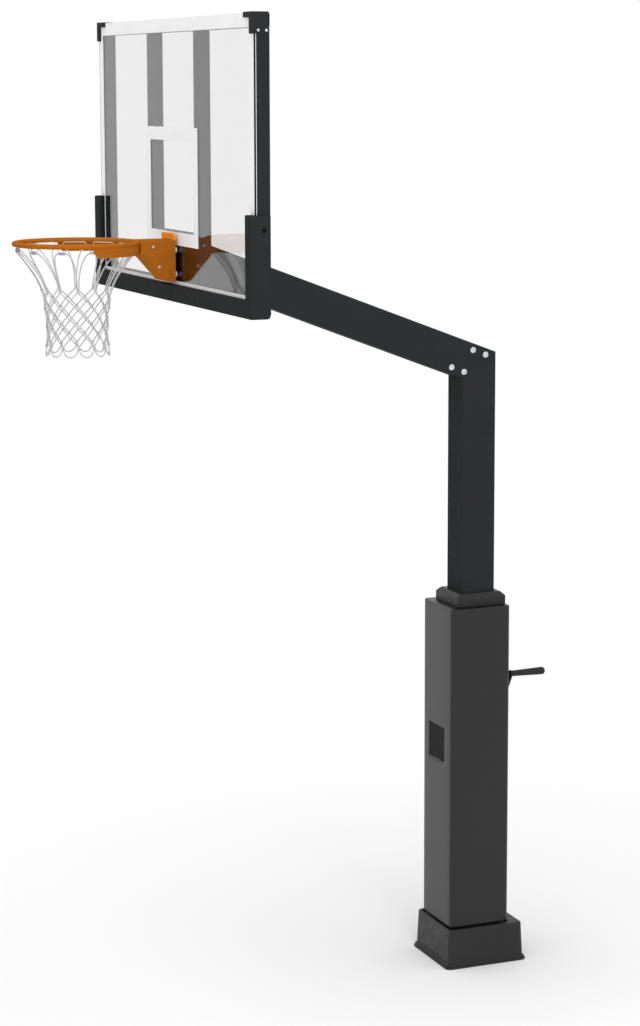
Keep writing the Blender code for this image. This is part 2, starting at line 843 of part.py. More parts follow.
def frame_tubes():
    """The welded frame behind the glass."""
    side = BOARD_HALF - TUBE / 2
    inner = BOARD_HALF - TUBE - GAP
    top_z = BOARD_TOP - TUBE / 2
    bottom_z = BOARD_BOTTOM + TUBE / 2
    under_top = BOARD_TOP - TUBE - GAP
    over_bottom = BOARD_BOTTOM + TUBE + GAP
    cross = UPRIGHT_X - TUBE / 2 - GAP
    return [
        tube_z("frame_left", -side, BOARD_BOTTOM, under_top),
        tube_z("frame_right", side, BOARD_BOTTOM, under_top),
        tube_x("frame_top", -BOARD_HALF, BOARD_HALF, top_z),
        tube_x("frame_bottom", -inner, inner, bottom_z),
        tube_z("upright_left", -UPRIGHT_X, over_bottom, under_top),
        tube_z("upright_right", UPRIGHT_X, over_bottom, under_top),
        tube_x("cross_tube", -cross, cross, CROSS_TOP - TUBE / 2),
    ]


def ring_bolt_places():
    return [(sx * RING_BOLT_X, z) for sx in (-1, 1) for z in RING_BOLT_Z]


def ring_bolt_holes(owner, radius):
    return [
        rod_cutter(f"{owner}_ring_hole_{i}", radius, (0, 1, 0), (x, -1.35, z), 0.12, 12)
        for i, (x, z) in enumerate(ring_bolt_places())
    ]


def ring_mount_plate():
    """The steel plate behind the glass that takes the ring's bolts."""
    low = (-0.105, FRAME_FRONT, BOARD_BOTTOM + TUBE + GAP)
    high = (0.105, FRAME_FRONT + 0.008, CROSS_TOP - TUBE - GAP)
    plate = box("ring_mount_plate", low, high, "black_steel")
    cut(plate, *ring_bolt_holes("mount", RING_BOLT_R + GAP))
    return plate


def glass_pane():
    low = (-BOARD_HALF, GLASS_FRONT, BOARD_BOTTOM)
    high = (BOARD_HALF, GLASS_BACK, BOARD_TOP)
    pane = box("glass_pane", low, high, "glass", 0.0008)
    cut(pane, *ring_bolt_holes("glass", RING_BOLT_R + 0.002))
    return pane


def corner_bracket(name, side):
    """A cap over a top corner of the board: front lips, a top and a side plate with two screws."""
    clear, wall = BRACKET_CLEAR, BRACKET_WALL
    top = BOARD_TOP + clear + 0.003
    out = BOARD_HALF + clear + wall
    body = box(
        name,
        (BOARD_HALF - CORNER_REACH, CORNER_FRONT, top - CORNER_DROP - 0.003),
        (out, CORNER_BACK, top),
        "black_steel",
        0.0015,
    )
    board = box(
        f"{name}_board",
        (0.5, GLASS_FRONT - clear, 3.5),
        (BOARD_HALF + clear, -1.0, BOARD_TOP + clear),
        "black_steel",
    )
    lips = box(
        f"{name}_lips",
        (0.5, CORNER_FRONT - 0.01, 3.5),
        (BOARD_HALF - CORNER_LEG, -1.0, BOARD_TOP - CORNER_LIP + clear),
        "black_steel",
    )
    cut(body, board, lips)
    for index, y in enumerate((-1.2752, -1.2443)):
        head = turned(
            f"{name}_screw_{index}",
            ((0.0050, 0), (0.0058, 0.0012), (0.0050, 0.0030), (0.0020, 0.0038)),
            (1, 0, 0),
            (out - 0.0002, y, 3.838),
            "zinc_steel",
            10,
        )
        fuse(body, head)
    if side < 0:
        for part in [body] + [m.object for m in body.modifiers]:
            part.data.transform(Matrix.Scale(-1, 4, (1, 0, 0)))
            part.data.flip_normals()
    return body


def backboard_pad():
    """A moulded pad round the board's bottom edge, with a riser up each side."""
    out = BOARD_HALF + PAD_OUT
    corner = 0.012
    outline = [(-out, RISER_TOP), (-RISER_INNER, RISER_TOP), (-RISER_INNER, PAD_LIP_TOP)]
    outline += [(RISER_INNER, PAD_LIP_TOP), (RISER_INNER, RISER_TOP), (out, RISER_TOP)]
    for cx, start in ((out - corner, 0.0), (corner - out, -math.pi / 2)):
        for step in range(4):
            turn = start - math.pi / 2 * step / 3
            outline.append((cx + corner * math.cos(turn), PAD_UNDER + corner + corner * math.sin(turn)))
    loops = [
        [Vector((x, PAD_LIP_FRONT, z)) for x, z in outline],
        [Vector((x, PAD_REAR, z)) for x, z in outline],
    ]
    pad = loft("backboard_pad", loops, "pad_foam")
    board = box(
        "pad_board",
        (-BOARD_HALF - BRACKET_CLEAR, GLASS_FRONT - BRACKET_CLEAR, BOARD_BOTTOM - BRACKET_CLEAR),
        (BOARD_HALF + BRACKET_CLEAR, -1.0, 4.0),
        "pad_foam",
    )
    soften = pad.modifiers.new("round_edges", "BEVEL")
    soften.width = 0.005
    soften.segments = 2
    soften.limit_method = "ANGLE"
    soften.angle_limit = math.radians(50)
    cut(pad, board)
    for side in (-1, 1):
        start = (side * 0.92, PAD_HOLE_Y, PAD_HOLE_Z)
        cut(pad, rod_cutter(f"pad_hole_{side}", PAD_HOLE_R, (side, 0, 0), start, 0.04, 12))
    return pad


def ring_back_plate():
    """The fixed plate of the breakaway ring, with a bent tab at its top and two hinge ears."""
    back, face = BACK_PLATE_BACK, BACK_PLATE_BACK - BACK_PLATE_T
    bend = BOX_TOP + 0.002
    plate = box(
        "ring_back_plate",
        (-BACK_PLATE_HALF, face, BOX_BOTTOM + 0.0015),
        (BACK_PLATE_HALF, back, bend + 0.002),
        "orange_steel",
    )
    fuse(plate, ring_tab(bend))
    for side in (-1, 1):
        ear_outline = [(face + 0.002, HINGE_Z - 0.010), (face + 0.002, HINGE_Z + 0.018)]
        for step in range(7):
            turn = math.pi / 2 + math.pi * step / 6
            ear_outline.append((HINGE_Y + 0.010 * math.cos(turn), HINGE_Z + 0.010 * math.sin(turn)))
        low, high = sorted((side * 0.036, side * 0.042))
        fuse(plate, plate_yz(f"ear_{side}", ear_outline, low, high, "orange_steel"))
    pin_hole = rod_cutter("ear_pin_hole", PIN_R + GAP, (1, 0, 0), (-0.1, HINGE_Y, HINGE_Z), 0.2, 12)
    cut(plate, pin_hole, *ring_bolt_holes("plate", RING_BOLT_R + GAP))
    return plate


def ring_tab(bend):
    """The back plate's top, with round corners and a slight lean to the front."""
    outline = [(-BOX_HALF, 0.0), (BOX_HALF, 0.0)]
    for cx, start in ((BOX_HALF - TAB_R, 0.0), (TAB_R - BOX_HALF, math.pi / 2)):
        for step in range(4):
            turn = start + math.pi / 2 * step / 3
            outline.append((cx + TAB_R * math.cos(turn), TAB_HEIGHT - TAB_R + TAB_R * math.sin(turn)))
    loops = [
        [Vector((x, y - TAB_LEAN * h / TAB_HEIGHT, bend + h)) for x, h in outline]
        for y in (BACK_PLATE_BACK, BACK_PLATE_BACK - BACK_PLATE_T)
    ]
    return loft("ring_tab", loops, "orange_steel")


def ring_spacers():
    """Nylon bushes that keep the ring's load off the glass."""
    bore = RING_BOLT_R + GAP
    start, end = BACK_PLATE_BACK + GAP, GLASS_FRONT - GAP
    profile = ((SPACER_R, start), (SPACER_R, end), (bore, end), (bore, start))
    return [
        turned(f"ring_spacer_{i + 1}", profile, (0, 1, 0), (x, 0, z), "nylon", 12, ring=True)
        for i, (x, z) in enumerate(ring_bolt_places())
    ]


def ring_bolts():
    """Bolts from the back plate through the glass, with a nut behind the mount plate."""
    face = BACK_PLATE_BACK - BACK_PLATE_T - GAP
    nut = FRAME_FRONT + 0.008 + GAP
    profile = (
        (0.0070, face - 0.006),
        (0.0090, face - 0.005),
        (0.0090, face),
        (RING_BOLT_R, face),
        (RING_BOLT_R, nut),
        (0.0090, nut),
        (0.0090, nut + 0.009),
        (RING_BOLT_R, nut + 0.009),
        (RING_BOLT_R, nut + 0.015),
    )
    return [
        turned(f"ring_bolt_{i + 1}", profile, (0, 1, 0), (x, 0, z), "zinc_steel", 12)
        for i, (x, z) in enumerate(ring_bolt_places())
    ]


def spring_bolts():
    """Bolts from the back plate whose heads hold the breakaway springs."""
    start = BACK_PLATE_BACK - BACK_PLATE_T - GAP
    profile = (
        (0.0040, start),
        (0.0040, SPRING_HEAD_Y),
        (0.0140, SPRING_HEAD_Y),
        (0.0140, SPRING_HEAD_Y - 0.0025),
        (0.0075, SPRING_HEAD_Y - 0.0030),
        (0.0075, SPRING_HEAD_Y - 0.0080),
    )
    names = (("spring_bolt_left", -SPRING_X), ("spring_bolt_right", SPRING_X))
    return [
        turned(name, profile, (0, 1, 0), (x, 0, SPRING_Z), "zinc_steel", 12) for name, x in names
    ]


def ring_bracket():
    """The box behind the rim: two side plates, a top, a sloped underside and a spring plate."""
    notch = (-1.4285, 3.0015)
    heel = (-1.3368, 2.8973)
    side_outline = (
        (BOX_BACK, BOX_BOTTOM),
        (BOX_BACK, BOX_TOP),
        (-1.452, BOX_TOP),
        (-1.452, notch[1]),
        notch,
        heel,
    )
    rear = BACK_PLATE_BACK - BACK_PLATE_T - 0.0008
    body = plate_yz("ring_bracket", side_outline, BOX_HALF - BOX_WALL, BOX_HALF, "orange_steel")
    left = plate_yz("bracket_left", side_outline, -BOX_HALF, BOX_WALL - BOX_HALF, "orange_steel")
    inner = BOX_HALF - BOX_WALL / 2
    top = box("bracket_top", (-inner, -1.452, BOX_TOP - 0.004), (inner, rear, BOX_TOP), "orange_steel")
    slope = Vector((0, notch[0] - heel[0], notch[1] - heel[1])).normalized()
    inward = Vector((0, slope.z, -slope.y)) * 0.003
    under_outline = [
        notch,
        heel,
        (heel[0] + inward.y, heel[1] + inward.z),
        (notch[0] + inward.y, notch[1] + inward.z),
    ]
    under = plate_yz("bracket_under", under_outline, -inner, inner, "orange_steel")
    spring_plate = box(
        "bracket_spring_plate",
        (-inner, SPRING_PLATE_Y[0], 2.958),
        (inner, SPRING_PLATE_Y[1], BOX_TOP - 0.002),
        "orange_steel",
    )
    fuse(body, left, top, under, spring_plate)
    for side in (-1, 1):
        for index, (y, z) in enumerate(((-1.3929, 3.0312), (-1.3680, 2.9537))):
            head = turned(
                f"bracket_screw_{side}_{index}",
                ((0.0055, 0), (0.0062, 0.0010), (0.0052, 0.0030), (0.0020, 0.0038)),
                (side, 0, 0),
                (side * (BOX_HALF - 0.0003), y, z),
                "zinc_steel",
                10,
            )
            fuse(body, head)
        slot = box(
            f"spring_slot_{side}",
            (side * SPRING_X - 0.0065, SPRING_PLATE_Y[0] - 0.01, 2.990),
            (side * SPRING_X + 0.0065, SPRING_PLATE_Y[1] + 0.01, 3.028),
            "orange_steel",
        )
        cut(body, slot)
    pin_hole = rod_cutter("bracket_pin_hole", PIN_R + GAP, (1, 0, 0), (-0.1, HINGE_Y, HINGE_Z), 0.2, 12)
    rim_space = rod_cutter("rim_space", RIM_R + ROD_R + GAP, (0, 0, 1), (0, RIM_Y, 2.9), 0.3, 96)
    cut(body, pin_hole, rim_space)
    return body


def hinge_pin():
    half = BOX_HALF + 0.004
    profile = (
        (0.0070, -half),
        (0.0070, -BOX_HALF - GAP),
        (PIN_R, -BOX_HALF - GAP),
        (PIN_R, BOX_HALF + GAP),
        (0.0070, BOX_HALF + GAP),
        (0.0070, half),
    )
    return turned("hinge_pin", profile, (1, 0, 0), (0, HINGE_Y, HINGE_Z), "zinc_steel", 12)


def least_gap(points, per_turn):
    """The least gap between a coil's wire and its next turns."""
    half_turn = per_turn // 2
    pairs = ((a, b) for i, a in enumerate(points) for b in points[i + half_turn:])
    return min((a - b).length for a, b in pairs) - 2 * WIRE_R


def breakaway_spring(name, x):
    """A coil round its bolt, from the spring plate to the bolt's head."""
    start = SPRING_PLATE_Y[0] - WIRE_R - GAP
    end = SPRING_HEAD_Y + WIRE_R + GAP
    per_turn = 10
    count = SPRING_TURNS * per_turn
    points = []
    for index in range(count + 1):
        turn = 2 * math.pi * index / per_turn
        y = start + (end - start) * index / count
        points.append(Vector((x + SPRING_R * math.cos(turn), y, SPRING_Z + SPRING_R * math.sin(turn))))
    print(f"{name}: least gap to itself {least_gap(points, per_turn) * 1000:.1f} mm")
    curve = bpy.data.curves.new(name, "CURVE")
    curve.dimensions = "3D"
    curve.bevel_depth = WIRE_R
    curve.bevel_resolution = 1
    curve.render_resolution_u = 0
    curve.use_fill_caps = True
    spline = curve.splines.new("POLY")
    spline.points.add(count)
    for point, place in zip(spline.points, points):
        point.co = (*place, 1.0)
    curve.materials.append(material("zinc_steel"))
    obj = bpy.data.objects.new(name, curve)
    bpy.context.scene.collection.objects.link(obj)
    return obj


def rim():
    """The rod, the brace band under its back half and the clips that hold the net."""
    bm = bmesh.new()
    around, sides = 60, 10
    rows = []
    for i in range(around):
        a = 2 * math.pi * i / around
        row = []
        for j in range(sides):
            b = 2 * math.pi * j / sides
            r = RIM_R + ROD_R * math.cos(b)
            z = RIM_Z + ROD_R * math.sin(b)
            row.append(bm.verts.new((r * math.cos(a), RIM_Y + r * math.sin(a), z)))
        rows.append(row)
    for i in range(around):
        bridge(bm, rows[i], rows[(i + 1) % around])
    rod = add_object("rim", bm, "orange_steel")
    fuse(rod, brace_band(), *[net_clip(i) for i in range(CLIPS)])
    return rod


def band_stations():
    """Angles along the band with the height of its lower edge, which rises at both ends."""
    steps = 27
    first = BAND_END + BAND_CUT / BAND_OUT
    last = math.pi - first
    full = [(first + (last - first) * step / steps, BAND_BOTTOM) for step in range(steps + 1)]
    raised = BAND_BOTTOM + BAND_CUT_RISE
    return [(BAND_END, raised)] + full + [(math.pi - BAND_END, raised)]


def brace_band():
    """A strip on edge under the back half of the rod, its lower corners cut off."""
    loops = []
    for a, low in band_stations():
        section = ((BAND_IN, low), (BAND_OUT, low), (BAND_OUT, BAND_TOP), (BAND_IN, BAND_TOP))
        loops.append([Vector((r * math.cos(a), RIM_Y + r * math.sin(a), z)) for r, z in section])
    return loft("brace_band", loops, "orange_steel")


def clip_angle(index):
    return 2 * math.pi * index / CLIPS


def net_clip(index):
    """A staple across the rod's underside that the net's cord hangs on."""
    a = clip_angle(index)
    half, drop, bend = CLIP_HALF, CLIP_DROP, 0.003
    outward = Vector((math.cos(a), math.sin(a), 0))
    sideways = Vector((-math.sin(a), math.cos(a), 0))
    centre = Vector((0, RIM_Y, RIM_Z)) + outward * CLIP_R
    path = [(-half, -0.0004), (-half, -drop + bend), (-half + bend, -drop)]
    path += [(half - bend, -drop), (half, -drop + bend), (half, -0.0004)]
    loops = []
    for number, (u, h) in enumerate(path):
        before = Vector(path[max(number - 1, 0)])
        after = Vector(path[min(number + 1, len(path) - 1)])
        run = (after - before).normalized()
        normal = outward * -run.y + Vector((0, 0, 1)) * run.x
        middle = centre + outward * u + Vector((0, 0, h))
        ring = [(1, 1), (-1, 1), (-1, -1), (1, -1)]
        loops.append([middle + CLIP_WIRE * (p * normal + q * sideways) for p, q in ring])
    return loft(f"net_clip_{index}", loops, "zinc_steel")


def net_radius(z):
    """Radius of the net's surface at a height: a funnel that opens a little at the foot."""
    upright = 0.004
    drop = max(NET_TOP_Z - upright - z, 0) / (NET_TOP_Z - upright - NET_FIRST_Z)
    if drop < 1:
        return NET_FIRST_R + (NET_TOP_R - NET_FIRST_R) * (1 - drop) ** 1.55
    lower = (NET_FIRST_Z - z) / (NET_ROW * (NET_ROWS - 1) + NET_LOOP_DROP)
    return NET_FIRST_R - 0.030 * math.sin(0.62 * math.pi * lower) + 0.022 * lower


def net_point(angle, z, lift=0.0, shift=0.0):
    """A point on the net's surface, lifted off it or shifted along it."""
    radius = net_radius(z) + lift
    turn = angle + shift / radius
    return Vector((radius * math.cos(turn), RIM_Y + radius * math.sin(turn), z))


class Lattice:
    """Cords and knots that share their corners, so that the whole net is one closed surface."""

    def __init__(self):
        self.bm = bmesh.new()

    def corner(self, angle, z, shift, lift):
        return self.bm.verts.new(net_point(angle, z, lift, shift))

    def knot(self, angle, z, wide, tall):
        """A diamond block: four points round its middle, each with an outer and an inner corner."""
        places = ((0, tall), (wide, 0), (0, -tall), (-wide, 0))
        made = []
        for shift, rise in places:
            pair = [self.corner(angle, z + rise, shift, lift) for lift in (CORD / 2, -CORD / 2)]
            made.append(pair)
        self.bm.faces.new([pair[0] for pair in made])
        self.bm.faces.new([pair[1] for pair in reversed(made)])
        return made

    def side(self, knot, number):
        """Two point pairs of a side: 0 up and right, 1 down and right, 2 down and left, 3 up and left."""
        return knot[number], knot[(number + 1) % 4]

    def close(self, knot, number):
        first, second = self.side(knot, number)
        self.bm.faces.new((first[0], first[1], second[1], second[0]))

    def strand(self, start, stops, end):
        """A cord from one knot's side through middle stations to another knot's side."""
        stations = [start] + stops + [end]
        for (a, b), (c, d) in zip(stations, stations[1:]):
            self.bm.faces.new((a[0], b[0], d[0], c[0]))
            self.bm.faces.new((a[1], c[1], d[1], b[1]))
            self.bm.faces.new((a[0], c[0], c[1], a[1]))
            self.bm.faces.new((b[0], b[1], d[1], d[0]))

    def station(self, angle, z, tilt):
        """A cross-section of a cord whose width lies at a tilt from the level."""
        half = CORD / 2
        made = []
        for sign in (-1, 1):
            shift = sign * half * math.cos(tilt)
            rise = sign * half * math.sin(tilt)
            made.append([self.corner(angle, z + rise, shift, lift) for lift in (half, -half)])
        return made[0], made[1]


def top_strand(net, head, knot, head_angle, knot_angle, right):
    """A cord that leaves a clip sideways, falls in a curve and reaches the first row of knots."""
    stops = []
    span = knot_angle - head_angle
    fall = NET_TOP_Z - NET_FIRST_Z
    for share, fallen in ((0.35, 0.07), (0.62, 0.22), (0.80, 0.48), (0.89, 0.76)):
        angle = head_angle + span * share
        stops.append(net.station(angle, NET_TOP_Z - fall * fallen, 0.35 if right else -0.35))
    if right:
        start = (head[2], head[1])
        end = (knot[3], knot[0])
    else:
        start = (head[3], head[2])
        end = (knot[0], knot[1])
    net.strand(start, stops, end)


def bottom_loop(net, left, right, left_angle, right_angle, z):
    """A cord that hangs in a loop between two knots of the last row."""
    stops = []
    middle = (left_angle + right_angle) / 2
    half = (right_angle - left_angle) / 2
    for step in range(1, 6):
        turn = math.pi * step / 6
        angle = middle - half * 0.92 * math.cos(turn)
        drop = NET_LOOP_DROP * math.sin(turn) ** 0.7
        stops.append(net.station(angle, z - drop, turn))
    net.strand((left[2], left[1]), stops, (right[2], right[3]))


def net():
    """Cords from twelve clips, seven rows of knots and a loop between each two of the last row."""
    made = Lattice()
    step = 2 * math.pi / CLIPS
    heads = [made.knot(clip_angle(i), NET_TOP_Z, 0.0035, 0.0022) for i in range(CLIPS)]
    for head in heads:
        made.close(head, 0)
        made.close(head, 3)
    rows = []
    for row in range(NET_ROWS):
        z = NET_FIRST_Z - NET_ROW * row
        shift = 0.5 if row % 2 == 0 else 0.0
        angles = [clip_angle(i) + step * shift for i in range(CLIPS)]
        rows.append((z, angles, [made.knot(a, z, 0.0046, 0.0046) for a in angles]))
    z, angles, knots = rows[0]
    for i in range(CLIPS):
        previous = (i - 1) % CLIPS
        top_strand(made, heads[i], knots[i], clip_angle(i), angles[i], True)
        top_strand(made, heads[i], knots[previous], clip_angle(i), angles[i] - step, False)
    for row in range(NET_ROWS - 1):
        upper, lower = rows[row][2], rows[row + 1][2]
        for i in range(CLIPS):
            right = (i + 1) % CLIPS if row % 2 == 0 else i
            left = i if row % 2 == 0 else (i - 1) % CLIPS
            made.strand((upper[i][2], upper[i][1]), [], (lower[right][3], lower[right][0]))
            made.strand((upper[i][3], upper[i][2]), [], (lower[left][0], lower[left][1]))
    z, angles, knots = rows[-1]
    for i in range(CLIPS):
        right = (i + 1) % CLIPS
        bottom_loop(made, knots[i], knots[right], angles[i], angles[i] + step, z)
    return add_object("net", made.bm, "cord")


def empty(name, location, parent=None):
    obj = bpy.data.objects.new(name, None)
    bpy.context.scene.collection.objects.link(obj)
    obj.location = location
    obj.empty_display_size = 0.1
    if parent:
        adopt(parent, [obj])
    return obj


def adopt(parent, children):
    """Parents objects that stay where they are."""
    bpy.context.view_layer.update()
    for child in children:
        child.parent = parent
        child.matrix_parent_inverse = parent.matrix_world.inverted()


def build_base():
    root = empty("stand", (0, 0, 0))
    pieces = [base_plate(), outer_pole(), base_cover(), pole_pad(), height_window(), collar()]
    pieces += anchor_bolts()
    pieces += [crank_bush(), gear_bracket(), thrust_bearing()]
    adopt(root, pieces)
    return root


def build_crank(root):
    x, z = grip_place()
    crank_axis = empty("crank_axis", (0, CRANK_ARM_Y[0], CRANK_Z), root)
    bore = SHAFT_R + GAP
    gear = bevel_gear("crank_gear", (0, 1, 0), crank_gear_turn(), bore)
    adopt(crank_axis, [crank_shaft(), gear, crank_arm()])
    grip_axis = empty("grip_axis", (x, CRANK_ARM_Y[1], z), crank_axis)
    adopt(grip_axis, [crank_grip()])
    screw_axis = empty("screw_axis", (0, 0, CRANK_Z), root)
    screw_gear = bevel_gear("screw_gear", (0, 0, -1), screw_gear_turn(), SCREW_R + GAP)
    adopt(screw_axis, [lead_screw(), screw_gear])


def contact_turn(axis, direction):
    """The turn, in teeth, of a direction seen from a gear's own axis."""
    place = axis_matrix(axis, (0, 0, 0))
    local = place.inverted() @ Vector(direction)
    return math.atan2(local.y, local.x) / (2 * math.pi) * GEAR_TEETH


def crank_gear_turn():
    """A tooth of the crank's gear points at the meeting of the two pitch circles."""
    return contact_turn((0, 1, 0), (0, 0, -1)) % 1


def screw_gear_turn():
    """A gap of the screw's gear points at the same place."""
    return (contact_turn((0, 0, -1), (0, 1, 0)) + 0.5) % 1


def build_mast(root):
    slide = empty("mast_slide", (0, 0, MAST_BOTTOM), root)
    pieces = [inner_pole(), knee_stub(), screw_nut(), lower_guide(), arm(), arm_end_plate()]
    pieces += knee_bolts()
    pieces += frame_tubes()
    pieces += [ring_mount_plate(), glass_pane()]
    pieces += [corner_bracket("corner_bracket_left", -1), corner_bracket("corner_bracket_right", 1)]
    pieces += [backboard_pad(), ring_back_plate()]
    pieces += ring_spacers()
    pieces += ring_bolts()
    pieces += spring_bolts()
    adopt(slide, pieces)
    return slide


def build_ring(slide):
    hinge = empty("ring_hinge", (0, HINGE_Y, HINGE_Z), slide)
    springs = [breakaway_spring("spring_left", -SPRING_X), breakaway_spring("spring_right", SPRING_X)]
    adopt(hinge, [rim(), ring_bracket(), hinge_pin(), net()] + springs)


def main():
    clear_scene()
    root = build_base()
    build_crank(root)
    slide = build_mast(root)
    build_ring(slide)


main()
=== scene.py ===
"""The looks of a basketball stand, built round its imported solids. Metres, +Z up, the ring at -Y."""

import json
import math

import bmesh
import bpy
from mathutils import Matrix, Vector, noise

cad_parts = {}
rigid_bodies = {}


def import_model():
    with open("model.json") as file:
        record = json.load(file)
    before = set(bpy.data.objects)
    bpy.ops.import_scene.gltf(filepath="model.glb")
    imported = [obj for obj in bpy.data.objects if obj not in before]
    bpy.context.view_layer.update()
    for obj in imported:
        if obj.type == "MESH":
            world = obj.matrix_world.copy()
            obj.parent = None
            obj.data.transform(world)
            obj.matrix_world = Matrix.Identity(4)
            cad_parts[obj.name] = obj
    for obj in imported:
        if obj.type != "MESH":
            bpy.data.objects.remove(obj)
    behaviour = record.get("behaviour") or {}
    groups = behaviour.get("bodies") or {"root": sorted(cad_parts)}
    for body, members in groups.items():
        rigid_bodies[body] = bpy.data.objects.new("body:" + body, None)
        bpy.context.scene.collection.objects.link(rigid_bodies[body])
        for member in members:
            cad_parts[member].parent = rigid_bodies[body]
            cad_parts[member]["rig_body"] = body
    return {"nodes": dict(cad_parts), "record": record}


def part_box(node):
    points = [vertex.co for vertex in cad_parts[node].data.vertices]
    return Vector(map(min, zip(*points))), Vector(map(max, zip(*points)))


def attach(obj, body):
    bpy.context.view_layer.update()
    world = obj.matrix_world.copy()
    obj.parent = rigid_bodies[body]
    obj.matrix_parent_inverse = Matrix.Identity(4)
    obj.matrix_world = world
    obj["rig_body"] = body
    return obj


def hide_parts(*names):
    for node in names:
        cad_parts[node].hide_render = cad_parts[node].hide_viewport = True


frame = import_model()

# Camera, fitted to the photograph
IMAGE_SIZE = (640, 1026)
FOCAL_PIXELS = 2570.77
PRINCIPAL_POINT = (364.27, 466.99)
CAMERA_PLACE = (9.5060, -4.5093, 3.6450)
CAMERA_AZIMUTH = math.radians(67.03)
CAMERA_PITCH = math.radians(8.44)

# Ring and net
RIM_R = 0.2348
ROD_R = 0.0098
RIM_CENTRE = Vector((0, -1.678, 3.0475))
BAND_OUT = 0.2415
BAND_T = 0.0048
BAND_BOTTOM = 3.0035
BAND_END = math.radians(-0.7)
BAND_CUT = 0.018
BAND_CUT_RISE = 0.020
CLIPS = 12
CLIP_R = 0.2305
NET_TOP_Z = 3.0233
NET_TOP_R = 0.2300
NET_FIRST_Z = 2.8710
NET_FIRST_R = 0.133
NET_ROW = 0.0355
NET_ROWS = 7
NET_LOOP_DROP = 0.0378
NET_UPRIGHT = 0.004
NET_FUNNEL_POWER = 1.32
NET_WAIST = 0.034
NET_FLARE = 0.022
# Shares of the turn and of the fall from a clip to the first knot
NET_UPPER = ((0.18, 0.0), (0.36, 0.03), (0.54, 0.11), (0.70, 0.27), (0.81, 0.46), (0.90, 0.72))
CORD_R = 0.0030
CORD_LAY = 0.017
CORD_STEP = 0.0026
KNOT_HALF = (0.0047, 0.0045)
KNOT_RISE = 0.0018
HOOK_WIRE_R = 0.0016
CURL_REACH = 0.0145
WELD_R = 0.0010
WELD_DROP = 0.0074
BRACKET_SIDE_X = 0.0742
TAB_FOOT_Z = 3.057

# Board
GLASS_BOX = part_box("glass_pane")
PAINT_T = 0.00012
LINE = 0.051
BORDER_FOOT_Z = 2.896
TARGET_HALF = 0.3048
TARGET_Z = (3.034, 3.4865)
SEAL_DEPTH = 0.0060
SEAL_LIP = 0.0012
SEAL_T = 0.0009
GASKET_HALF = 0.862
CORNER_BRACKET_X = 0.9188
BOARD_FITTING = (0.92, -1.2628, 3.1346)
BEHIND_BOARD_Y = -1.0
ABOVE_BOARD_Z = 4.0
CROSS_TUBE_DROP = 0.0095
END_PLATE_DROP = 0.010
BOLT_REACH = 0.0079
SPACER_BORE_R = 0.0062
SPACER_NYLON = 0.007
SPACER_STEP = 0.0006

# Pads
PAD_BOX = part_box("pole_pad")
PAD_R = 0.018
PAD_DROP = 0.0035
PAD_CROWN = 0.0012
PAD_BORE = 0.1005
PAD_HEM = 0.0112
PAD_WINDOW_HALF = 0.0753
PAD_WINDOW_Z = (0.863, 1.008)
CRANK_Z = 1.084
CRANK_HOLE_R = 0.030
FOAM_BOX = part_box("backboard_pad")
FOAM_LIP_TOP = 2.8825
FOAM_RISER_INNER = 0.874
FOAM_EASE = 0.005
FOAM_HEEL = 0.0115
FOAM_HOLE_R = 0.009

# Post, each row as half width, half depth, height and corner radius
COVER_CENTRE_Y = 0.004
COVER_OUTSIDE = (
    (0.1772, 0.1837, 0.0005, 0.024), (0.1785, 0.1850, 0.0018, 0.024), (0.1785, 0.1850, 0.0076, 0.024),
    (0.1779, 0.1842, 0.0090, 0.023), (0.1762, 0.1815, 0.0099, 0.022), (0.1750, 0.1800, 0.0102, 0.022),
    (0.1755, 0.1805, 0.0118, 0.022), (0.1755, 0.1805, 0.0164, 0.022), (0.1748, 0.1790, 0.0180, 0.021),
    (0.1728, 0.1752, 0.0192, 0.019), (0.1710, 0.1725, 0.0204, 0.018), (0.1667, 0.1677, 0.1560, 0.020),
    (0.1661, 0.1671, 0.1588, 0.020), (0.1645, 0.1655, 0.1612, 0.019), (0.1622, 0.1632, 0.1628, 0.018),
    (0.1590, 0.1600, 0.1634, 0.016),
)
COVER_INSIDE = ((0.1570, 0.1580, 0.1495, 0.012), (0.1655, 0.1670, 0.0005, 0.014))
COVER_SEAT_HALF = (0.1470, 0.1382)
COVER_SEAT_Y = -0.0185
COVER_SEAT_R = 0.016
COVER_SEAT_Z = (0.1632, 0.1545)
COVER_HOLE_HALF = 0.1008
COVER_HOLE_R = 0.012
COVER_HOLE_Z = (0.1545, 0.1495)

# Collar, each row as half width, height and corner radius
COLLAR_ROWS = (
    (0.1095, 1.5205, 0.0045), (0.1095, 1.5550, 0.0045), (0.1091, 1.5562, 0.0045),
    (0.1055, 1.5605, 0.0042), (0.0935, 1.5722, 0.0038), (0.0925, 1.5730, 0.0036),
    (0.0758, 1.5730, 0.010), (0.0758, 1.4400, 0.010), (0.0954, 1.4400, 0.007),
    (0.0954, 1.5200, 0.007), (0.1020, 1.5200, 0.012), (0.1020, 1.5205, 0.012),
)

# Crank grip
GRIP_BORE_R = 0.0045
GRIP_R = (0.0120, 0.0160)
GRIP_DOME = 0.014
GRIP_RINGS = 12
AXIS_R = 0.0002


def node_tree(name):
    """A new material, its node tree and its main shader."""
    material = bpy.data.materials.new(name)
    material.use_nodes = True
    tree = material.node_tree
    return material, tree, tree.nodes["Principled BSDF"]


def add(tree, kind, **values):
    """A node with its properties and input values set."""
    node = tree.nodes.new(kind)
    for key, value in values.items():
        if key in node.inputs:
            node.inputs[key].default_value = value
        else:
            setattr(node, key, value)
    return node


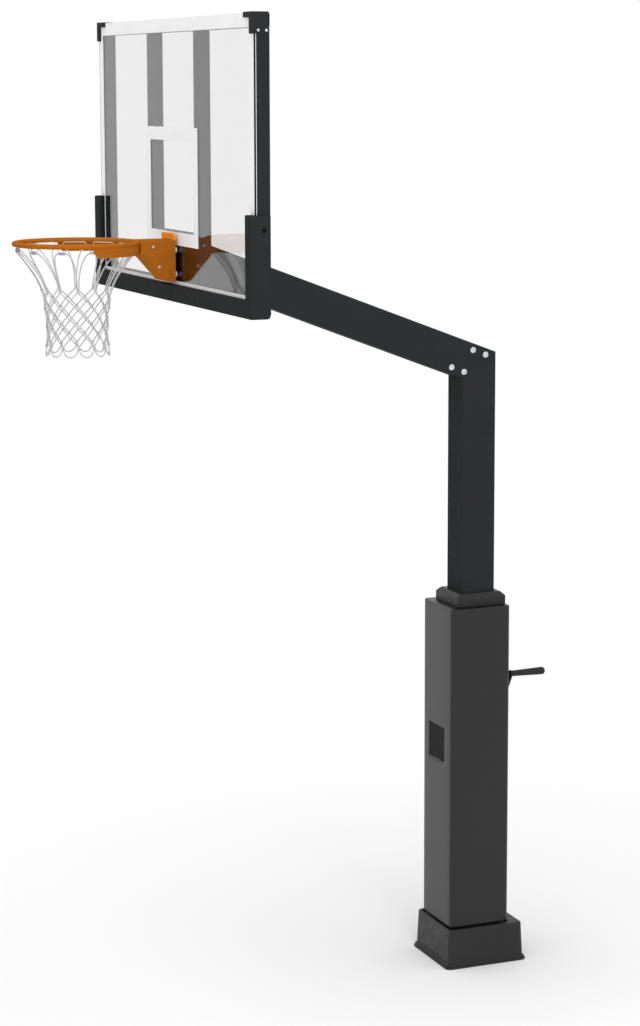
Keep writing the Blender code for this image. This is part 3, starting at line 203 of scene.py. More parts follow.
def noise_node(tree, scale, detail=3.0, stretch=(1, 1, 1)):
    """Noise over the object's own coordinates, with so many cells to the metre."""
    coordinates = add(tree, "ShaderNodeTexCoord")
    mapping = add(tree, "ShaderNodeMapping")
    mapping.inputs["Scale"].default_value = stretch
    texture = add(tree, "ShaderNodeTexNoise", Scale=scale, Detail=detail)
    tree.links.new(coordinates.outputs["Object"], mapping.inputs["Vector"])
    tree.links.new(mapping.outputs["Vector"], texture.inputs["Vector"])
    return texture


def vary_number(tree, texture, low, high, socket):
    """Carries a texture's value to a socket between two numbers."""
    ramp = add(tree, "ShaderNodeMapRange")
    ramp.inputs["From Min"].default_value = 0.3
    ramp.inputs["From Max"].default_value = 0.7
    ramp.inputs["To Min"].default_value = low
    ramp.inputs["To Max"].default_value = high
    tree.links.new(texture.outputs["Fac"], ramp.inputs["Value"])
    tree.links.new(ramp.outputs["Result"], socket)


def vary_colour(tree, texture, colour, dark, light, socket):
    """Carries a texture's value to a socket between a darker and a lighter shade."""
    ramp = add(tree, "ShaderNodeValToRGB")
    for element, position, factor in zip(ramp.color_ramp.elements, (0.32, 0.68), (dark, light)):
        element.position = position
        element.color = (*scaled(colour, factor), 1)
    tree.links.new(texture.outputs["Fac"], ramp.inputs["Fac"])
    tree.links.new(ramp.outputs["Color"], socket)


def bump(tree, shader, heights, distance, strength=1.0):
    """Bump from one or more height outputs, each on top of the last."""
    normal = None
    for height in heights:
        node = add(tree, "ShaderNodeBump", Distance=distance, Strength=strength)
        tree.links.new(height, node.inputs["Height"])
        if normal:
            tree.links.new(normal, node.inputs["Normal"])
        normal = node.outputs["Normal"]
    tree.links.new(normal, shader.inputs["Normal"])


def scaled(colour, factor):
    """A colour made lighter or darker, never past white."""
    return tuple(min(channel * factor, 1.0) for channel in colour)


def coated(name, colour, roughness, specular, grain, depth, spread=0.12):
    """A solid finish: cloudy colour, uneven gloss and a fine surface grain."""
    material, tree, shader = node_tree(name)
    cloud = noise_node(tree, 7.0, 5.0)
    vary_colour(tree, cloud, colour, 1 - spread, 1 + spread, shader.inputs["Base Color"])
    scuff = noise_node(tree, 34.0, 6.0)
    vary_number(tree, scuff, roughness - 0.06, roughness + 0.08, shader.inputs["Roughness"])
    shader.inputs["Specular IOR Level"].default_value = specular
    fine = noise_node(tree, grain, 2.0)
    bump(tree, shader, [fine.outputs["Fac"]], depth)
    return material


def metal(name, colour, roughness, grain, stretch=(1, 1, 1)):
    """Bare or plated metal with fine scratches."""
    material, tree, shader = node_tree(name)
    shader.inputs["Metallic"].default_value = 1.0
    cloud = noise_node(tree, 60.0, 4.0)
    vary_colour(tree, cloud, colour, 0.9, 1.06, shader.inputs["Base Color"])
    scratch = noise_node(tree, grain, 3.0, stretch)
    vary_number(tree, scratch, roughness - 0.08, roughness + 0.12, shader.inputs["Roughness"])
    bump(tree, shader, [scratch.outputs["Fac"]], 0.00003)
    return material


def vinyl(name, colour):
    """Coated fabric: a leathery grain of small cells over slow waves."""
    material, tree, shader = node_tree(name)
    cloud = noise_node(tree, 4.0, 3.0)
    vary_colour(tree, cloud, colour, 0.95, 1.05, shader.inputs["Base Color"])
    shader.inputs["Roughness"].default_value = 0.34
    shader.inputs["Specular IOR Level"].default_value = 0.44
    coordinates = add(tree, "ShaderNodeTexCoord")
    cells = add(tree, "ShaderNodeTexVoronoi", Scale=520.0, feature="SMOOTH_F1")
    tree.links.new(coordinates.outputs["Object"], cells.inputs["Vector"])
    waves = noise_node(tree, 22.0, 2.0)
    bump(tree, shader, [waves.outputs["Fac"], cells.outputs["Distance"]], 0.0004, 0.45)
    return material


def cord_fibre(name, colour):
    """Braided polyester with its fibres along the cord."""
    material, tree, shader = node_tree(name)
    cloud = noise_node(tree, 90.0, 4.0)
    vary_colour(tree, cloud, colour, 0.80, 1.08, shader.inputs["Base Color"])
    shader.inputs["Roughness"].default_value = 0.85
    shader.inputs["Specular IOR Level"].default_value = 0.2
    shader.inputs["Sheen Weight"].default_value = 0.15
    fibre = noise_node(tree, 2600.0, 2.0)
    bump(tree, shader, [fibre.outputs["Fac"]], 0.0002)
    return material


def clear_glass(name):
    """Clear glass that is a little grey."""
    material, _, shader = node_tree(name)
    shader.inputs["Base Color"].default_value = (0.815, 0.819, 0.816, 1)
    shader.inputs["Roughness"].default_value = 0.0
    shader.inputs["IOR"].default_value = 1.33
    shader.inputs["Transmission Weight"].default_value = 1.0
    return material


MATERIALS = {
    "powder": coated("powder_coat", (0.0238, 0.0262, 0.0270), 0.62, 0.010, 900.0, 0.00008, 0.06),
    "bracket": coated("bracket_paint", (0.0235, 0.0255, 0.0262), 0.58, 0.03, 900.0, 0.00008, 0.06),
    "vinyl": vinyl("pad_vinyl", (0.0045, 0.0045, 0.0045)),
    "plastic": coated("moulded_plastic", (0.0175, 0.0175, 0.0175), 0.45, 0.27, 1500.0, 0.00010, 0.06),
    "foam": coated("moulded_foam", (0.0232, 0.0248, 0.0256), 0.66, 0.010, 1100.0, 0.00014, 0.06),
    "orange": coated("orange_enamel", (0.385, 0.116, 0.0120), 0.50, 0.0, 700.0, 0.00006, 0.05),
    # The same orange enamel made lighter: painted highlight for the tab that catches the light
    "plate": coated("orange_painted_highlight", (0.92, 0.34, 0.0340), 0.46, 0.0, 700.0, 0.00006, 0.05),
    "zinc": metal("zinc_plate", (0.72, 0.73, 0.75), 0.34, 420.0),
    "steel": metal("machined_steel", (0.50, 0.51, 0.52), 0.36, 300.0, (1, 1, 14)),
    "bronze": metal("bronze", (0.55, 0.37, 0.17), 0.38, 380.0),
    "nylon": coated("nylon", (0.78, 0.80, 0.82), 0.42, 0.40, 800.0, 0.00006, 0.04),
    # Bluish grey is the shaded look of the pale clips: painted shade taken as their colour
    "clip": coated("clip_plastic_painted_shade", (0.30, 0.33, 0.44), 0.35, 0.40, 800.0, 0.00004, 0.06),
    "wire": coated("coated_wire", (0.62, 0.60, 0.60), 0.40, 0.40, 800.0, 0.00004, 0.06),
    "rubber": coated("grip_rubber", (0.0200, 0.0200, 0.0205), 0.60, 0.20, 1300.0, 0.00016),
    "smoked": coated("smoked_acrylic", (0.0250, 0.0255, 0.0262), 0.55, 0.01, 40.0, 0.00002),
    "glass": clear_glass("board_glass"),
    "edge": coated("ground_edge", (0.80, 0.82, 0.82), 0.60, 0.10, 900.0, 0.00003, 0.04),
    "seal": coated("edge_seal", (0.014, 0.016, 0.017), 0.60, 0.05, 900.0, 0.00004, 0.06),
    "paint": coated("white_paint", (0.88, 0.88, 0.88), 0.55, 0.08, 600.0, 0.00003, 0.02),
    "cord": cord_fibre("net_cord", (0.57, 0.57, 0.58)),
}


# Signs of x and y at the four corners, in the order of turning
CORNERS = ((1, 1), (-1, 1), (-1, -1), (1, -1))


def new_object(name, bm, material, smooth=38):
    """A new object from a bmesh, smooth but for its sharp edges."""
    bmesh.ops.recalc_face_normals(bm, faces=bm.faces)
    mesh = bpy.data.meshes.new(name)
    bm.to_mesh(mesh)
    bm.free()
    mesh.shade_smooth()
    mesh.set_sharp_from_angle(angle=math.radians(smooth))
    mesh.materials.append(MATERIALS[material])
    obj = bpy.data.objects.new(name, mesh)
    bpy.context.scene.collection.objects.link(obj)
    return obj


def place(obj, body, slot, *nodes):
    """Sets what a piece rides on and hides the nodes that it stands for; the slot is not used."""
    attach(obj, body)
    if nodes:
        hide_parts(*nodes)
    return obj


def bevel(obj, width):
    """Rounds the sharp edges."""
    modifier = obj.modifiers.new("edges", "BEVEL")
    modifier.width = width
    modifier.segments = 2
    modifier.limit_method = "ANGLE"
    modifier.angle_limit = math.radians(40)
    modifier.harden_normals = True


def body_of(node):
    """The body that a node rides on."""
    return frame["nodes"][node]["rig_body"]


def slot_of(node):
    """The material slot that the record gives a node."""
    return next(part["material_slot"] for part in frame["record"]["subparts"] if part["node"] == node)


def refined(node, material, width):
    """The node's own shape with its flat faces merged, its edges eased and its flats kept flat."""
    bm = bmesh.new()
    bm.from_mesh(frame["nodes"][node].data)
    bmesh.ops.remove_doubles(bm, verts=bm.verts, dist=0.000002)
    bmesh.ops.dissolve_limit(bm, angle_limit=math.radians(0.6), verts=bm.verts, edges=bm.edges)
    obj = new_object(f"{node}_shell", bm, material)
    if width:
        bevel(obj, width)
    flatten(obj)
    return place(obj, body_of(node), slot_of(node), node)


def flatten(obj):
    """Normals that follow the large faces, so that flats stay flat beside round edges."""
    modifier = obj.modifiers.new("normals", "WEIGHTED_NORMAL")
    modifier.keep_sharp = True
    modifier.weight = 100


def repaint(obj, material, test):
    """Gives a second material to the faces whose middle passes a test."""
    obj.data.materials.append(MATERIALS[material])
    for face in obj.data.polygons:
        if test(face.center):
            face.material_index = 1


def axis_matrix(axis, centre):
    """Turns +Z to an axis and moves the origin to a centre."""
    turn = Vector((0, 0, 1)).rotation_difference(Vector(axis))
    return Matrix.Translation(centre) @ turn.to_matrix().to_4x4()


def sweep_rows(bm, rows, closed_along=False):
    """Skins loops of points, and caps both ends unless the last loop joins the first."""
    made = [[bm.verts.new(p) for p in row] for row in rows]
    count = len(made[0])
    last = len(made) if closed_along else len(made) - 1
    for i in range(last):
        a, b = made[i], made[(i + 1) % len(made)]
        for j in range(count):
            k = (j + 1) % count
            bm.faces.new((a[j], a[k], b[k], b[j]))
    if not closed_along:
        bm.faces.new(made[0])
        bm.faces.new(made[-1])


def lathe(name, profile, axis, centre, material, segments=32, ring=False):
    """A turned shape from (radius, height) points along an axis."""
    bm = bmesh.new()
    spot = axis_matrix(axis, centre)
    angles = [2 * math.pi * i / segments for i in range(segments)]
    rows = [[spot @ Vector((r * math.cos(a), r * math.sin(a), h)) for a in angles] for r, h in profile]
    sweep_rows(bm, rows, closed_along=ring)
    return new_object(name, bm, material)


def frames_along(points, closed=False):
    """A sideways and an upward direction at each point of a path, without twist."""
    count = len(points)
    tangents = []
    for i in range(count):
        before = points[(i - 1) % count] if closed or i else points[0]
        after = points[(i + 1) % count] if closed or i < count - 1 else points[-1]
        tangents.append((after - before).normalized())
    side = tangents[0].orthogonal().normalized()
    result = []
    for tangent in tangents:
        side = (side - tangent * side.dot(tangent)).normalized()
        result.append((side, tangent.cross(side)))
    return result


def tube(bm, points, radius, sides=10, closed=False):
    """A plain round tube along a path."""
    rows = []
    for point, (side, up) in zip(points, frames_along(points, closed)):
        turns = [2 * math.pi * j / sides for j in range(sides)]
        rows.append([point + radius * (math.cos(t) * side + math.sin(t) * up) for t in turns])
    sweep_rows(bm, rows, closed_along=closed)


def rope(bm, points, radius, lay, sides=9, lobes=3):
    """A laid cord along a path: a lobed section that turns once in each lay length."""
    rows = []
    run = 0.0
    before = points[0]
    for point, (side, up) in zip(points, frames_along(points)):
        run += (point - before).length
        before = point
        twist = 2 * math.pi * run / lay
        row = []
        for j in range(sides):
            t = 2 * math.pi * j / sides
            r = radius * (0.88 + 0.12 * math.cos(lobes * t))
            row.append(point + r * (math.cos(t + twist) * side + math.sin(t + twist) * up))
        rows.append(row)
    sweep_rows(bm, rows)


def spline_points(stations, step):
    """Points on a smooth curve through stations, about a step apart."""
    points = []
    last = len(stations) - 1
    for i in range(last):
        p0 = stations[max(i - 1, 0)]
        p1, p2 = stations[i], stations[i + 1]
        p3 = stations[min(i + 2, last)]
        count = max(int((p2 - p1).length / step), 1)
        for j in range(count):
            t = j / count
            points.append(
                0.5 * (2 * p1 + (p2 - p0) * t + (2 * p0 - 5 * p1 + 4 * p2 - p3) * t * t
                       + (3 * p1 - p0 - 3 * p2 + p3) * t ** 3)
            )
    points.append(stations[last])
    return points


def box_mesh(low, high):
    """A box between two corners."""
    low, high = Vector(low), Vector(high)
    bm = bmesh.new()
    bmesh.ops.create_cube(bm, size=1.0)
    bmesh.ops.scale(bm, vec=high - low, verts=bm.verts)
    bmesh.ops.translate(bm, vec=(low + high) / 2, verts=bm.verts)
    return bm


def net_radius(z):
    """Radius of the net at a height: a funnel that opens a little at its foot."""
    top = NET_TOP_Z - NET_UPRIGHT
    drop = max(top - z, 0) / (top - NET_FIRST_Z)
    if drop < 1:
        return NET_FIRST_R + (NET_TOP_R - NET_FIRST_R) * (1 - drop) ** NET_FUNNEL_POWER
    lower = (NET_FIRST_Z - z) / (NET_ROW * (NET_ROWS - 1) + NET_LOOP_DROP)
    return NET_FIRST_R - NET_WAIST * math.sin(0.62 * math.pi * lower) + NET_FLARE * lower


def net_point(angle, z, lift=0.0):
    """A point on the net at an angle and a height, lifted off it by a length."""
    radius = net_radius(z) + lift
    return RIM_CENTRE + Vector((radius * math.cos(angle), radius * math.sin(angle), z - RIM_CENTRE.z))


def net_strand(clip, side):
    """Stations of one cord: out of its clip, down through the knots, and for one side the foot loop."""
    step = 2 * math.pi / CLIPS
    start = clip * step
    lift = side * CORD_R * 0.55
    fall = NET_TOP_Z - NET_FIRST_Z
    stations = [net_point(start, NET_TOP_Z + 0.001)]
    for share, fallen in NET_UPPER:
        stations.append(net_point(start + side * step / 2 * share, NET_TOP_Z - fall * fallen, lift))
    for row in range(NET_ROWS):
        angle = start + side * step * (row + 1) / 2
        stations.append(net_point(angle, NET_FIRST_Z - NET_ROW * row, lift))
    if side > 0:
        stations += foot_loop(angle, step)
    return stations


def foot_loop(angle, step):
    """The hanging loop from a knot of the last row to its right neighbour."""
    z = NET_FIRST_Z - NET_ROW * (NET_ROWS - 1)
    middle = angle + step / 2
    stations = []
    for i in range(1, 10):
        turn = math.pi * i / 10
        drop = NET_LOOP_DROP * math.sin(turn)
        stations.append(net_point(middle - step / 2 * 0.94 * math.cos(turn), z - drop))
    stations.append(net_point(angle + step, z))
    return stations


def knot(bm, angle, z):
    """Two wraps of cord round a crossing."""
    centre = net_point(angle, z)
    outward = Vector((math.cos(angle), math.sin(angle), 0))
    sideways = Vector((-math.sin(angle), math.cos(angle), 0))
    up = Vector((0, 0, 1))
    wide, deep = KNOT_HALF
    for lean, rise in ((0.5, KNOT_RISE), (-0.5, -KNOT_RISE)):
        across = (sideways + lean * up).normalized()
        points = []
        for i in range(14):
            t = 2 * math.pi * i / 14
            aside, out = wide * math.cos(t), deep * math.sin(t)
            points.append(centre + up * rise + aside * across + out * outward)
        tube(bm, points, CORD_R * 0.8, 8, closed=True)


def make_net():
    """All the cords with a knot at each crossing."""
    bm = bmesh.new()
    for clip in range(CLIPS):
        for side in (1, -1):
            rope(bm, spline_points(net_strand(clip, side), CORD_STEP), CORD_R, CORD_LAY)
    step = 2 * math.pi / CLIPS
    for row in range(NET_ROWS):
        for i in range(CLIPS):
            knot(bm, step * (i + (row + 1) / 2), NET_FIRST_Z - NET_ROW * row)
    place(new_object("net_cords", bm, "cord", 60), "ring", "cord", "net")


def ring_place(angle, shift, radius, z):
    """A point near the rod, shifted round it by a length."""
    turn = angle + shift / radius
    return Vector((radius * math.cos(turn), RIM_CENTRE.y + radius * math.sin(turn), z))


def hook_path(angle):
    """The net's wire at one clip: level inside the rod, down, three curls, up and level again."""
    half_span = math.pi / CLIPS * RIM_R
    level_r, level_z = RIM_R - ROD_R + 0.0004, RIM_CENTRE.z - 0.0080
    reach, coil_half, coil_r, turns = 0.0178, 0.0120, 0.0054, 3
    coil_z = RIM_CENTRE.z - 0.0252
    points = []
    for i in range(8):
        points.append(ring_place(angle, -half_span + (half_span - reach) * i / 7, level_r, level_z))
    steps = turns * 14
    first = math.radians(-25)
    for i in range(steps + 1):
        turn = first + 2 * math.pi * turns * i / steps
        along = coil_half * (2 * i / steps - 1)
        radius = CLIP_R + coil_r * math.sin(turn)
        points.append(ring_place(angle, along, radius, coil_z + coil_r * math.cos(turn)))
    for i in range(7):
        points.append(ring_place(angle, reach + (half_span - reach) * i / 7, level_r, level_z))
    return points


def make_hooks():
    """One wire round the inside of the rod, curled under it where the net hangs."""
    bm = bmesh.new()
    path = []
    for i in range(CLIPS):
        path += hook_path(math.pi / 2 + 2 * math.pi * (i + 1) / CLIPS)
    tube(bm, path, HOOK_WIRE_R, 8)
    wire = new_object("net_hooks", bm, "wire", 60)
    step = 2 * math.pi / CLIPS

    def at_curl(centre):
        angle = math.atan2(centre.y - RIM_CENTRE.y, centre.x)
        return abs(angle / step - round(angle / step)) * step * RIM_R < CURL_REACH

    # The curls take the clip colour, which is painted shade of pale plastic clips
    repaint(wire, "clip", at_curl)
    place(wire, "ring", "nylon")


def make_rim():
    """The round rod with its brace band and the net's wire."""
    bm = bmesh.new()
    circle = [
        RIM_CENTRE + RIM_R * Vector((math.cos(a), math.sin(a), 0))
        for a in (2 * math.pi * i / 144 for i in range(144))
    ]
    tube(bm, circle, ROD_R, 24, closed=True)
    rod = new_object("rim_rod", bm, "orange", 60)
    place(rod, "ring", "orange_steel", "rim")
    make_band()
    make_hooks()


def band_low(run, length):
    """Height of the band's lower edge, which rises towards both ends."""
    to_end = min(run, length - run)
    return BAND_BOTTOM + BAND_CUT_RISE * max(1 - to_end / BAND_CUT, 0)


def make_band():
    """The strip on edge under the back half of the rod, with a rounded lower edge."""
    top = RIM_CENTRE.z - 0.001
    inner = BAND_OUT - BAND_T
    ease = 0.0012
    length = BAND_OUT * (math.pi - 2 * BAND_END)
    runs = [BAND_CUT * i / 6 for i in range(6)]
    runs += [BAND_CUT + (length - 2 * BAND_CUT) * i / 72 for i in range(73)]
    runs += [length - BAND_CUT * i / 6 for i in range(5, -1, -1)]
    rows = []
    for run in runs:
        a = BAND_END + run / BAND_OUT
        low = band_low(run, length)
        section = (
            (inner + ease, low), (BAND_OUT - ease, low), (BAND_OUT, low + ease),
            (BAND_OUT, top), (inner, top), (inner, low + ease),
        )
        rows.append([
            Vector((r * math.cos(a), RIM_CENTRE.y + r * math.sin(a), z)) for r, z in section
        ])
    bm = bmesh.new()
    sweep_rows(bm, rows)
    band = new_object("brace_band", bm, "orange")
    place(band, "ring", "orange_steel")
    make_welds()


def weld_bead(bm, points, radius, seed):
    """A rippled bead of weld along a path."""
    rows = []
    shift = Vector((seed, 0, 0))
    for i, (point, (side, up)) in enumerate(zip(points, frames_along(points))):
        uneven = noise.noise(point * 300 + shift)
        swell = radius * (1 + 0.16 * math.sin(i * 1.9) + 0.12 * uneven)
        turns = [2 * math.pi * j / 8 for j in range(8)]
        rows.append([point + swell * (math.cos(t) * side + math.sin(t) * up) for t in turns])
    sweep_rows(bm, rows)


def make_welds():
    """A bead on each side where the rod meets the top of the band."""
    bm = bmesh.new()
    for start, end in ((1, 66), (114, 179)):
        count = 130
        points = []
        for i in range(count + 1):
            a = math.radians(start + (end - start) * i / count)
            seam = Vector((BAND_OUT * math.cos(a), BAND_OUT * math.sin(a), -WELD_DROP))
            points.append(RIM_CENTRE + seam)
        weld_bead(bm, points, WELD_R, start)
    place(new_object("ring_welds", bm, "orange", 60), "ring", "orange_steel")


def make_ring_bracket():
    """The box behind the rim with bare bolt heads, and its plate, whose tab is painted a lighter orange as
    a painted highlight.
    """
    bracket = refined("ring_bracket", "orange", 0.0012)
    repaint(bracket, "zinc", lambda c: abs(c.x) > BRACKET_SIDE_X + 0.0001)
    back_plate = refined("ring_back_plate", "orange", 0.0012)
    # The tab above its foot gets the lighter orange, a painted highlight where light falls on it
    repaint(back_plate, "plate", lambda c: c.z > TAB_FOOT_Z)
    refined("hinge_pin", "orange", 0.0006)


def dome_bolt(name, x, y, z, side, body, slot):
    """A domed head with a six-sided socket in its middle."""
    outside = (
        (0.0120, 0.0), (0.0131, 0.0006), (0.0131, 0.0016), (0.0122, 0.0030),
        (0.0105, 0.0046), (0.0085, 0.0057), (0.0068, 0.0063),
    )
    socket = ((0.0056, 0.0064), (0.0051, 0.0060), (0.0051, 0.0018), (0.0002, 0.0010))
    spot = axis_matrix((side, 0, 0), (x, y, z))
    rows = []
    for group, sixth in ((outside, False), (socket, True)):
        for radius, height in group:
            row = []
            for i in range(36):
                turn = 2 * math.pi * i / 36
                bend = math.cos(math.pi / 6) / math.cos(turn % (math.pi / 3) - math.pi / 6)
                r = radius * (bend if sixth else 1.0)
                row.append(spot @ Vector((r * math.cos(turn), r * math.sin(turn), height)))
            rows.append(row)
    bm = bmesh.new()
    sweep_rows(bm, rows)
    return place(new_object(name, bm, "zinc"), body, slot)


def make_knee_bolts():
    """A domed head on each side of the arm for each through bolt."""
    for index in range(1, 5):
        node = f"knee_bolt_{index}"
        low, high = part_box(node)
        middle = (low + high) / 2
        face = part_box("arm")[1].x + 0.0002
        for side in (-1, 1):
            name = f"{node}_head_{'left' if side < 0 else 'right'}"
            head = dome_bolt(name, side * face, middle.y, middle.z, side, "mast", "zinc_steel")
            if side > 0:
                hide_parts(node)


def white_paint(name, boxes):
    """Thin coats of paint on the front of the glass, between x and z limits."""
    front = GLASS_BOX[0].y - 0.00005
    bm = bmesh.new()
    for x0, z0, x1, z1 in boxes:
        corners = ((x0, z0), (x1, z0), (x1, z1), (x0, z1))
        rows = [[Vector((x, y, z)) for x, z in corners] for y in (front, front - PAINT_T)]
        sweep_rows(bm, rows)
    place(new_object(name, bm, "paint"), "mast", "nylon")


def frame_strips(x0, z0, x1, z1, line, foot=None):
    """Four strips inside a rectangle that don't overlap."""
    foot = line if foot is None else foot
    return [
        (x0, z0, x1, z0 + foot),
        (x0, z1 - line, x1, z1),
        (x0, z0 + foot, x0 + line, z1 - line),
        (x1 - line, z0 + foot, x1, z1 - line),
    ]


def slab(name, low, high, material, chamfer):
    """A box with its edges cut off, all its faces flat."""
    bm = box_mesh(low, high)
    bmesh.ops.bevel(bm, geom=bm.edges, offset=chamfer, segments=1, affect="EDGES")
    obj = new_object(name, bm, material, 1)
    obj.data.shade_flat()
    return obj


def make_glass():
    """The pane with its painted border and target."""
    low, high = GLASS_BOX
    pane = slab("glass_sheet", low, high, "glass", 0.0008)
    place(pane, "mast", "glass", "glass_pane")
    border = frame_strips(low.x, low.z, high.x, high.z, LINE, BORDER_FOOT_Z - low.z)
    white_paint("board_border", border)
    white_paint("board_target", frame_strips(-TARGET_HALF, TARGET_Z[0], TARGET_HALF, TARGET_Z[1], LINE))
    for side, face in (("left", low.x), ("right", high.x)):
        make_edge_seal(side, face)
        make_ground_edge(side, face)
    make_gasket()


def edge_heights():
    """Where the strips on the glass's ends start and stop."""
    return FOAM_BOX[1].z - 0.004, GLASS_BOX[1].z - 0.001


def make_edge_seal(side, face):
    """A strip round the front corner of the glass's end."""
    low = GLASS_BOX[0]
    out = math.copysign(1, face)
    front, behind_lip = low.y - 0.0006, low.y - 0.0002
    lip, skin = face - out * SEAL_LIP, face + out * SEAL_T
    middle = low.y + SEAL_DEPTH
    outline = (
        (lip, front), (skin, front), (skin, middle),
        (face, middle), (face, behind_lip), (lip, behind_lip),
    )
    bm = bmesh.new()
    sweep_rows(bm, [[Vector((x, y, z)) for x, y in outline] for z in edge_heights()])
    place(new_object(f"edge_seal_{side}", bm, "seal", 1), "mast", "rubber")


def make_ground_edge(side, face):
    """The pale ground edge of the glass behind its seal."""
    low, high = GLASS_BOX
    inner, outer = sorted((face, face + math.copysign(0.0003, face)))
    bottom, top = edge_heights()
    near = (inner, low.y + SEAL_DEPTH, bottom)
    far = (outer, high.y - 0.0011, top)
    place(slab(f"ground_edge_{side}", near, far, "edge", 0.0001), "mast", "nylon")


def make_gasket():
    """The strip behind the foot of the glass."""
    behind = GLASS_BOX[1].y + 0.0001
    near = (-GASKET_HALF, behind, BORDER_FOOT_Z - 0.010)
    far = (GASKET_HALF, behind + 0.004, BORDER_FOOT_Z + 0.0095)
    place(slab("glass_gasket", near, far, "seal", 0.0008), "mast", "rubber")


def pad_corners(half, inset):
    """The four corner arcs of the pole pad."""
    arcs = []
    for quarter, (sx, sy) in enumerate(CORNERS):
        middle = Vector((sx * (half.x - PAD_R), sy * (half.y - PAD_R)))
        angles = [math.pi / 2 * (quarter + step / 8) for step in range(9)]
        arcs.append([middle + (PAD_R - inset) * Vector((math.cos(a), math.sin(a))) for a in angles])
    return arcs


def pad_outline(z, inset=0.0):
    """One loop of the pole pad, which swells a little between its corners."""
    low, high = PAD_BOX
    centre = (low + high) / 2
    half = (high - low) / 2 - Vector((PAD_CROWN, PAD_CROWN, 0))
    arcs = pad_corners(half, inset)
    points = []
    for quarter, arc in enumerate(arcs):
        points += arc
        after = arcs[(quarter + 1) % 4][0]
        face = math.pi / 2 * (quarter + 1)
        outward = Vector((math.cos(face), math.sin(face)))
        for step in range(1, 12):
            share = step / 12
            swell = PAD_CROWN * (1 - (2 * share - 1) ** 4)
            points.append(arc[-1].lerp(after, share) + outward * swell)
    return [Vector((centre.x + p.x, centre.y + p.y, z)) for p in points]


def pad_rows():
    """Loops of the pad's outside from its foot to its top, rounded at both ends."""
    low, high = PAD_BOX
    base = low.z - PAD_DROP
    hem = ((0.0030, 0.0), (0.0009, 0.0009), (0.0, 0.0030), (0.0, PAD_HEM))
    rows = [pad_outline(base + rise, inset) for inset, rise in hem]
    foot, head = base + PAD_HEM, high.z - PAD_HEM
    rows += [pad_outline(foot + (head - foot) * i / 40) for i in range(1, 40)]
    rows += [pad_outline(high.z - rise, inset) for inset, rise in reversed(hem)]
    return rows


def within_bore(value):
    """A coordinate held inside the pad's square bore."""
    return max(-PAD_BORE, min(PAD_BORE, value))


def make_pole_pad():
    """The pad round the post with its window, its seam at the back and its hole for the crank."""
    low, high = PAD_BOX
    inner = []
    for z in (high.z, low.z - PAD_DROP):
        inner.append([Vector((within_bore(p.x * 2), within_bore(p.y * 2), z)) for p in pad_outline(z)])
    bm = bmesh.new()
    sweep_rows(bm, pad_rows() + inner, closed_along=True)
    pad = new_object("pole_pad_cover", bm, "vinyl", 50)
    window_foot, window_head = PAD_WINDOW_Z
    cut_with_box(pad, (-PAD_WINDOW_HALF, low.y - 0.02, window_foot), (PAD_WINDOW_HALF, -0.09, window_head))
    cut_with_box(pad, (-0.0015, 0.09, low.z - 0.02), (0.0015, high.y + 0.02, high.z + 0.02))
    cut_with_rod(pad, (0, 0.08, CRANK_Z), (0, 1, 0), CRANK_HOLE_R, 0.07, "vinyl")
    place(pad, "post", "pole_vinyl", "pole_pad")


def apply_boolean(obj, cutter):
    """Takes a cutter out of a piece, and deletes the cutter."""
    modifier = obj.modifiers.new("cut", "BOOLEAN")
    modifier.object = cutter
    modifier.operation = "DIFFERENCE"
    modifier.solver = "EXACT"
    graph = bpy.context.evaluated_depsgraph_get()
    cut = bpy.data.meshes.new_from_object(obj.evaluated_get(graph))
    obj.modifiers.remove(modifier)
    obj.data = cut
    bpy.data.objects.remove(cutter)


def cut_with_box(obj, low, high):
    """Takes a box out of a piece."""
    apply_boolean(obj, new_object("cutter", box_mesh(low, high), "vinyl"))


def cut_with_rod(obj, start, axis, radius, length, material):
    """Takes a round hole out of a piece."""
    profile = ((radius, 0), (radius, length))
    apply_boolean(obj, lathe("cutter", profile, axis, start, material))


def round_corner(x, z, radius, start):
    """A quarter of a circle inside a corner, from a start angle in degrees."""
    away = math.radians(start + 45)
    middle_x = x - math.copysign(radius, math.cos(away))
    middle_z = z - math.copysign(radius, math.sin(away))
    turns = [math.radians(start + 15 * step) for step in range(7)]
    return [(middle_x + radius * math.cos(t), middle_z + radius * math.sin(t)) for t in turns]


def foam_outline(inset, rise=0.0):
    """The board pad seen from the front, its edges moved in by an inset and its foot raised."""
    low, high = FOAM_BOX
    out, foot, head = high.x - inset, low.z + max(inset, rise), high.z - inset
    inner, lip = FOAM_RISER_INNER + inset, FOAM_LIP_TOP - inset
    corners = (
        (out, foot, 0.012, 270), (out, head, 0.007, 0), (inner, head, 0.004, 90), (inner, lip, 0.0, 0),
        (-inner, lip, 0.0, 0), (-inner, head, 0.004, 0), (-out, head, 0.007, 90), (-out, foot, 0.012, 180),
    )
    points = []
    for x, z, radius, start in corners:
        if radius:
            points += round_corner(x, z, max(radius - inset, 0.0008), start)
        else:
            points.append((x, z))
    return points


def foam_rows():
    """Outlines of the board pad from its front to its back, both rounded."""
    low, high = FOAM_BOX
    rows = []
    for i in range(7):
        turn = math.pi / 2 * i / 6
        inset, depth = FOAM_EASE * (1 - math.sin(turn)), FOAM_EASE * (1 - math.cos(turn))
        rows.append([Vector((x, low.y + depth, z)) for x, z in foam_outline(inset)])
    for i in range(7):
        turn = math.pi / 2 * i / 6
        depth, rise = FOAM_HEEL * (1 - math.sin(turn)), FOAM_HEEL * (1 - math.cos(turn))
        rows.append([Vector((x, high.y - depth, z)) for x, z in foam_outline(0.0008 * i / 6, rise)])
    return rows


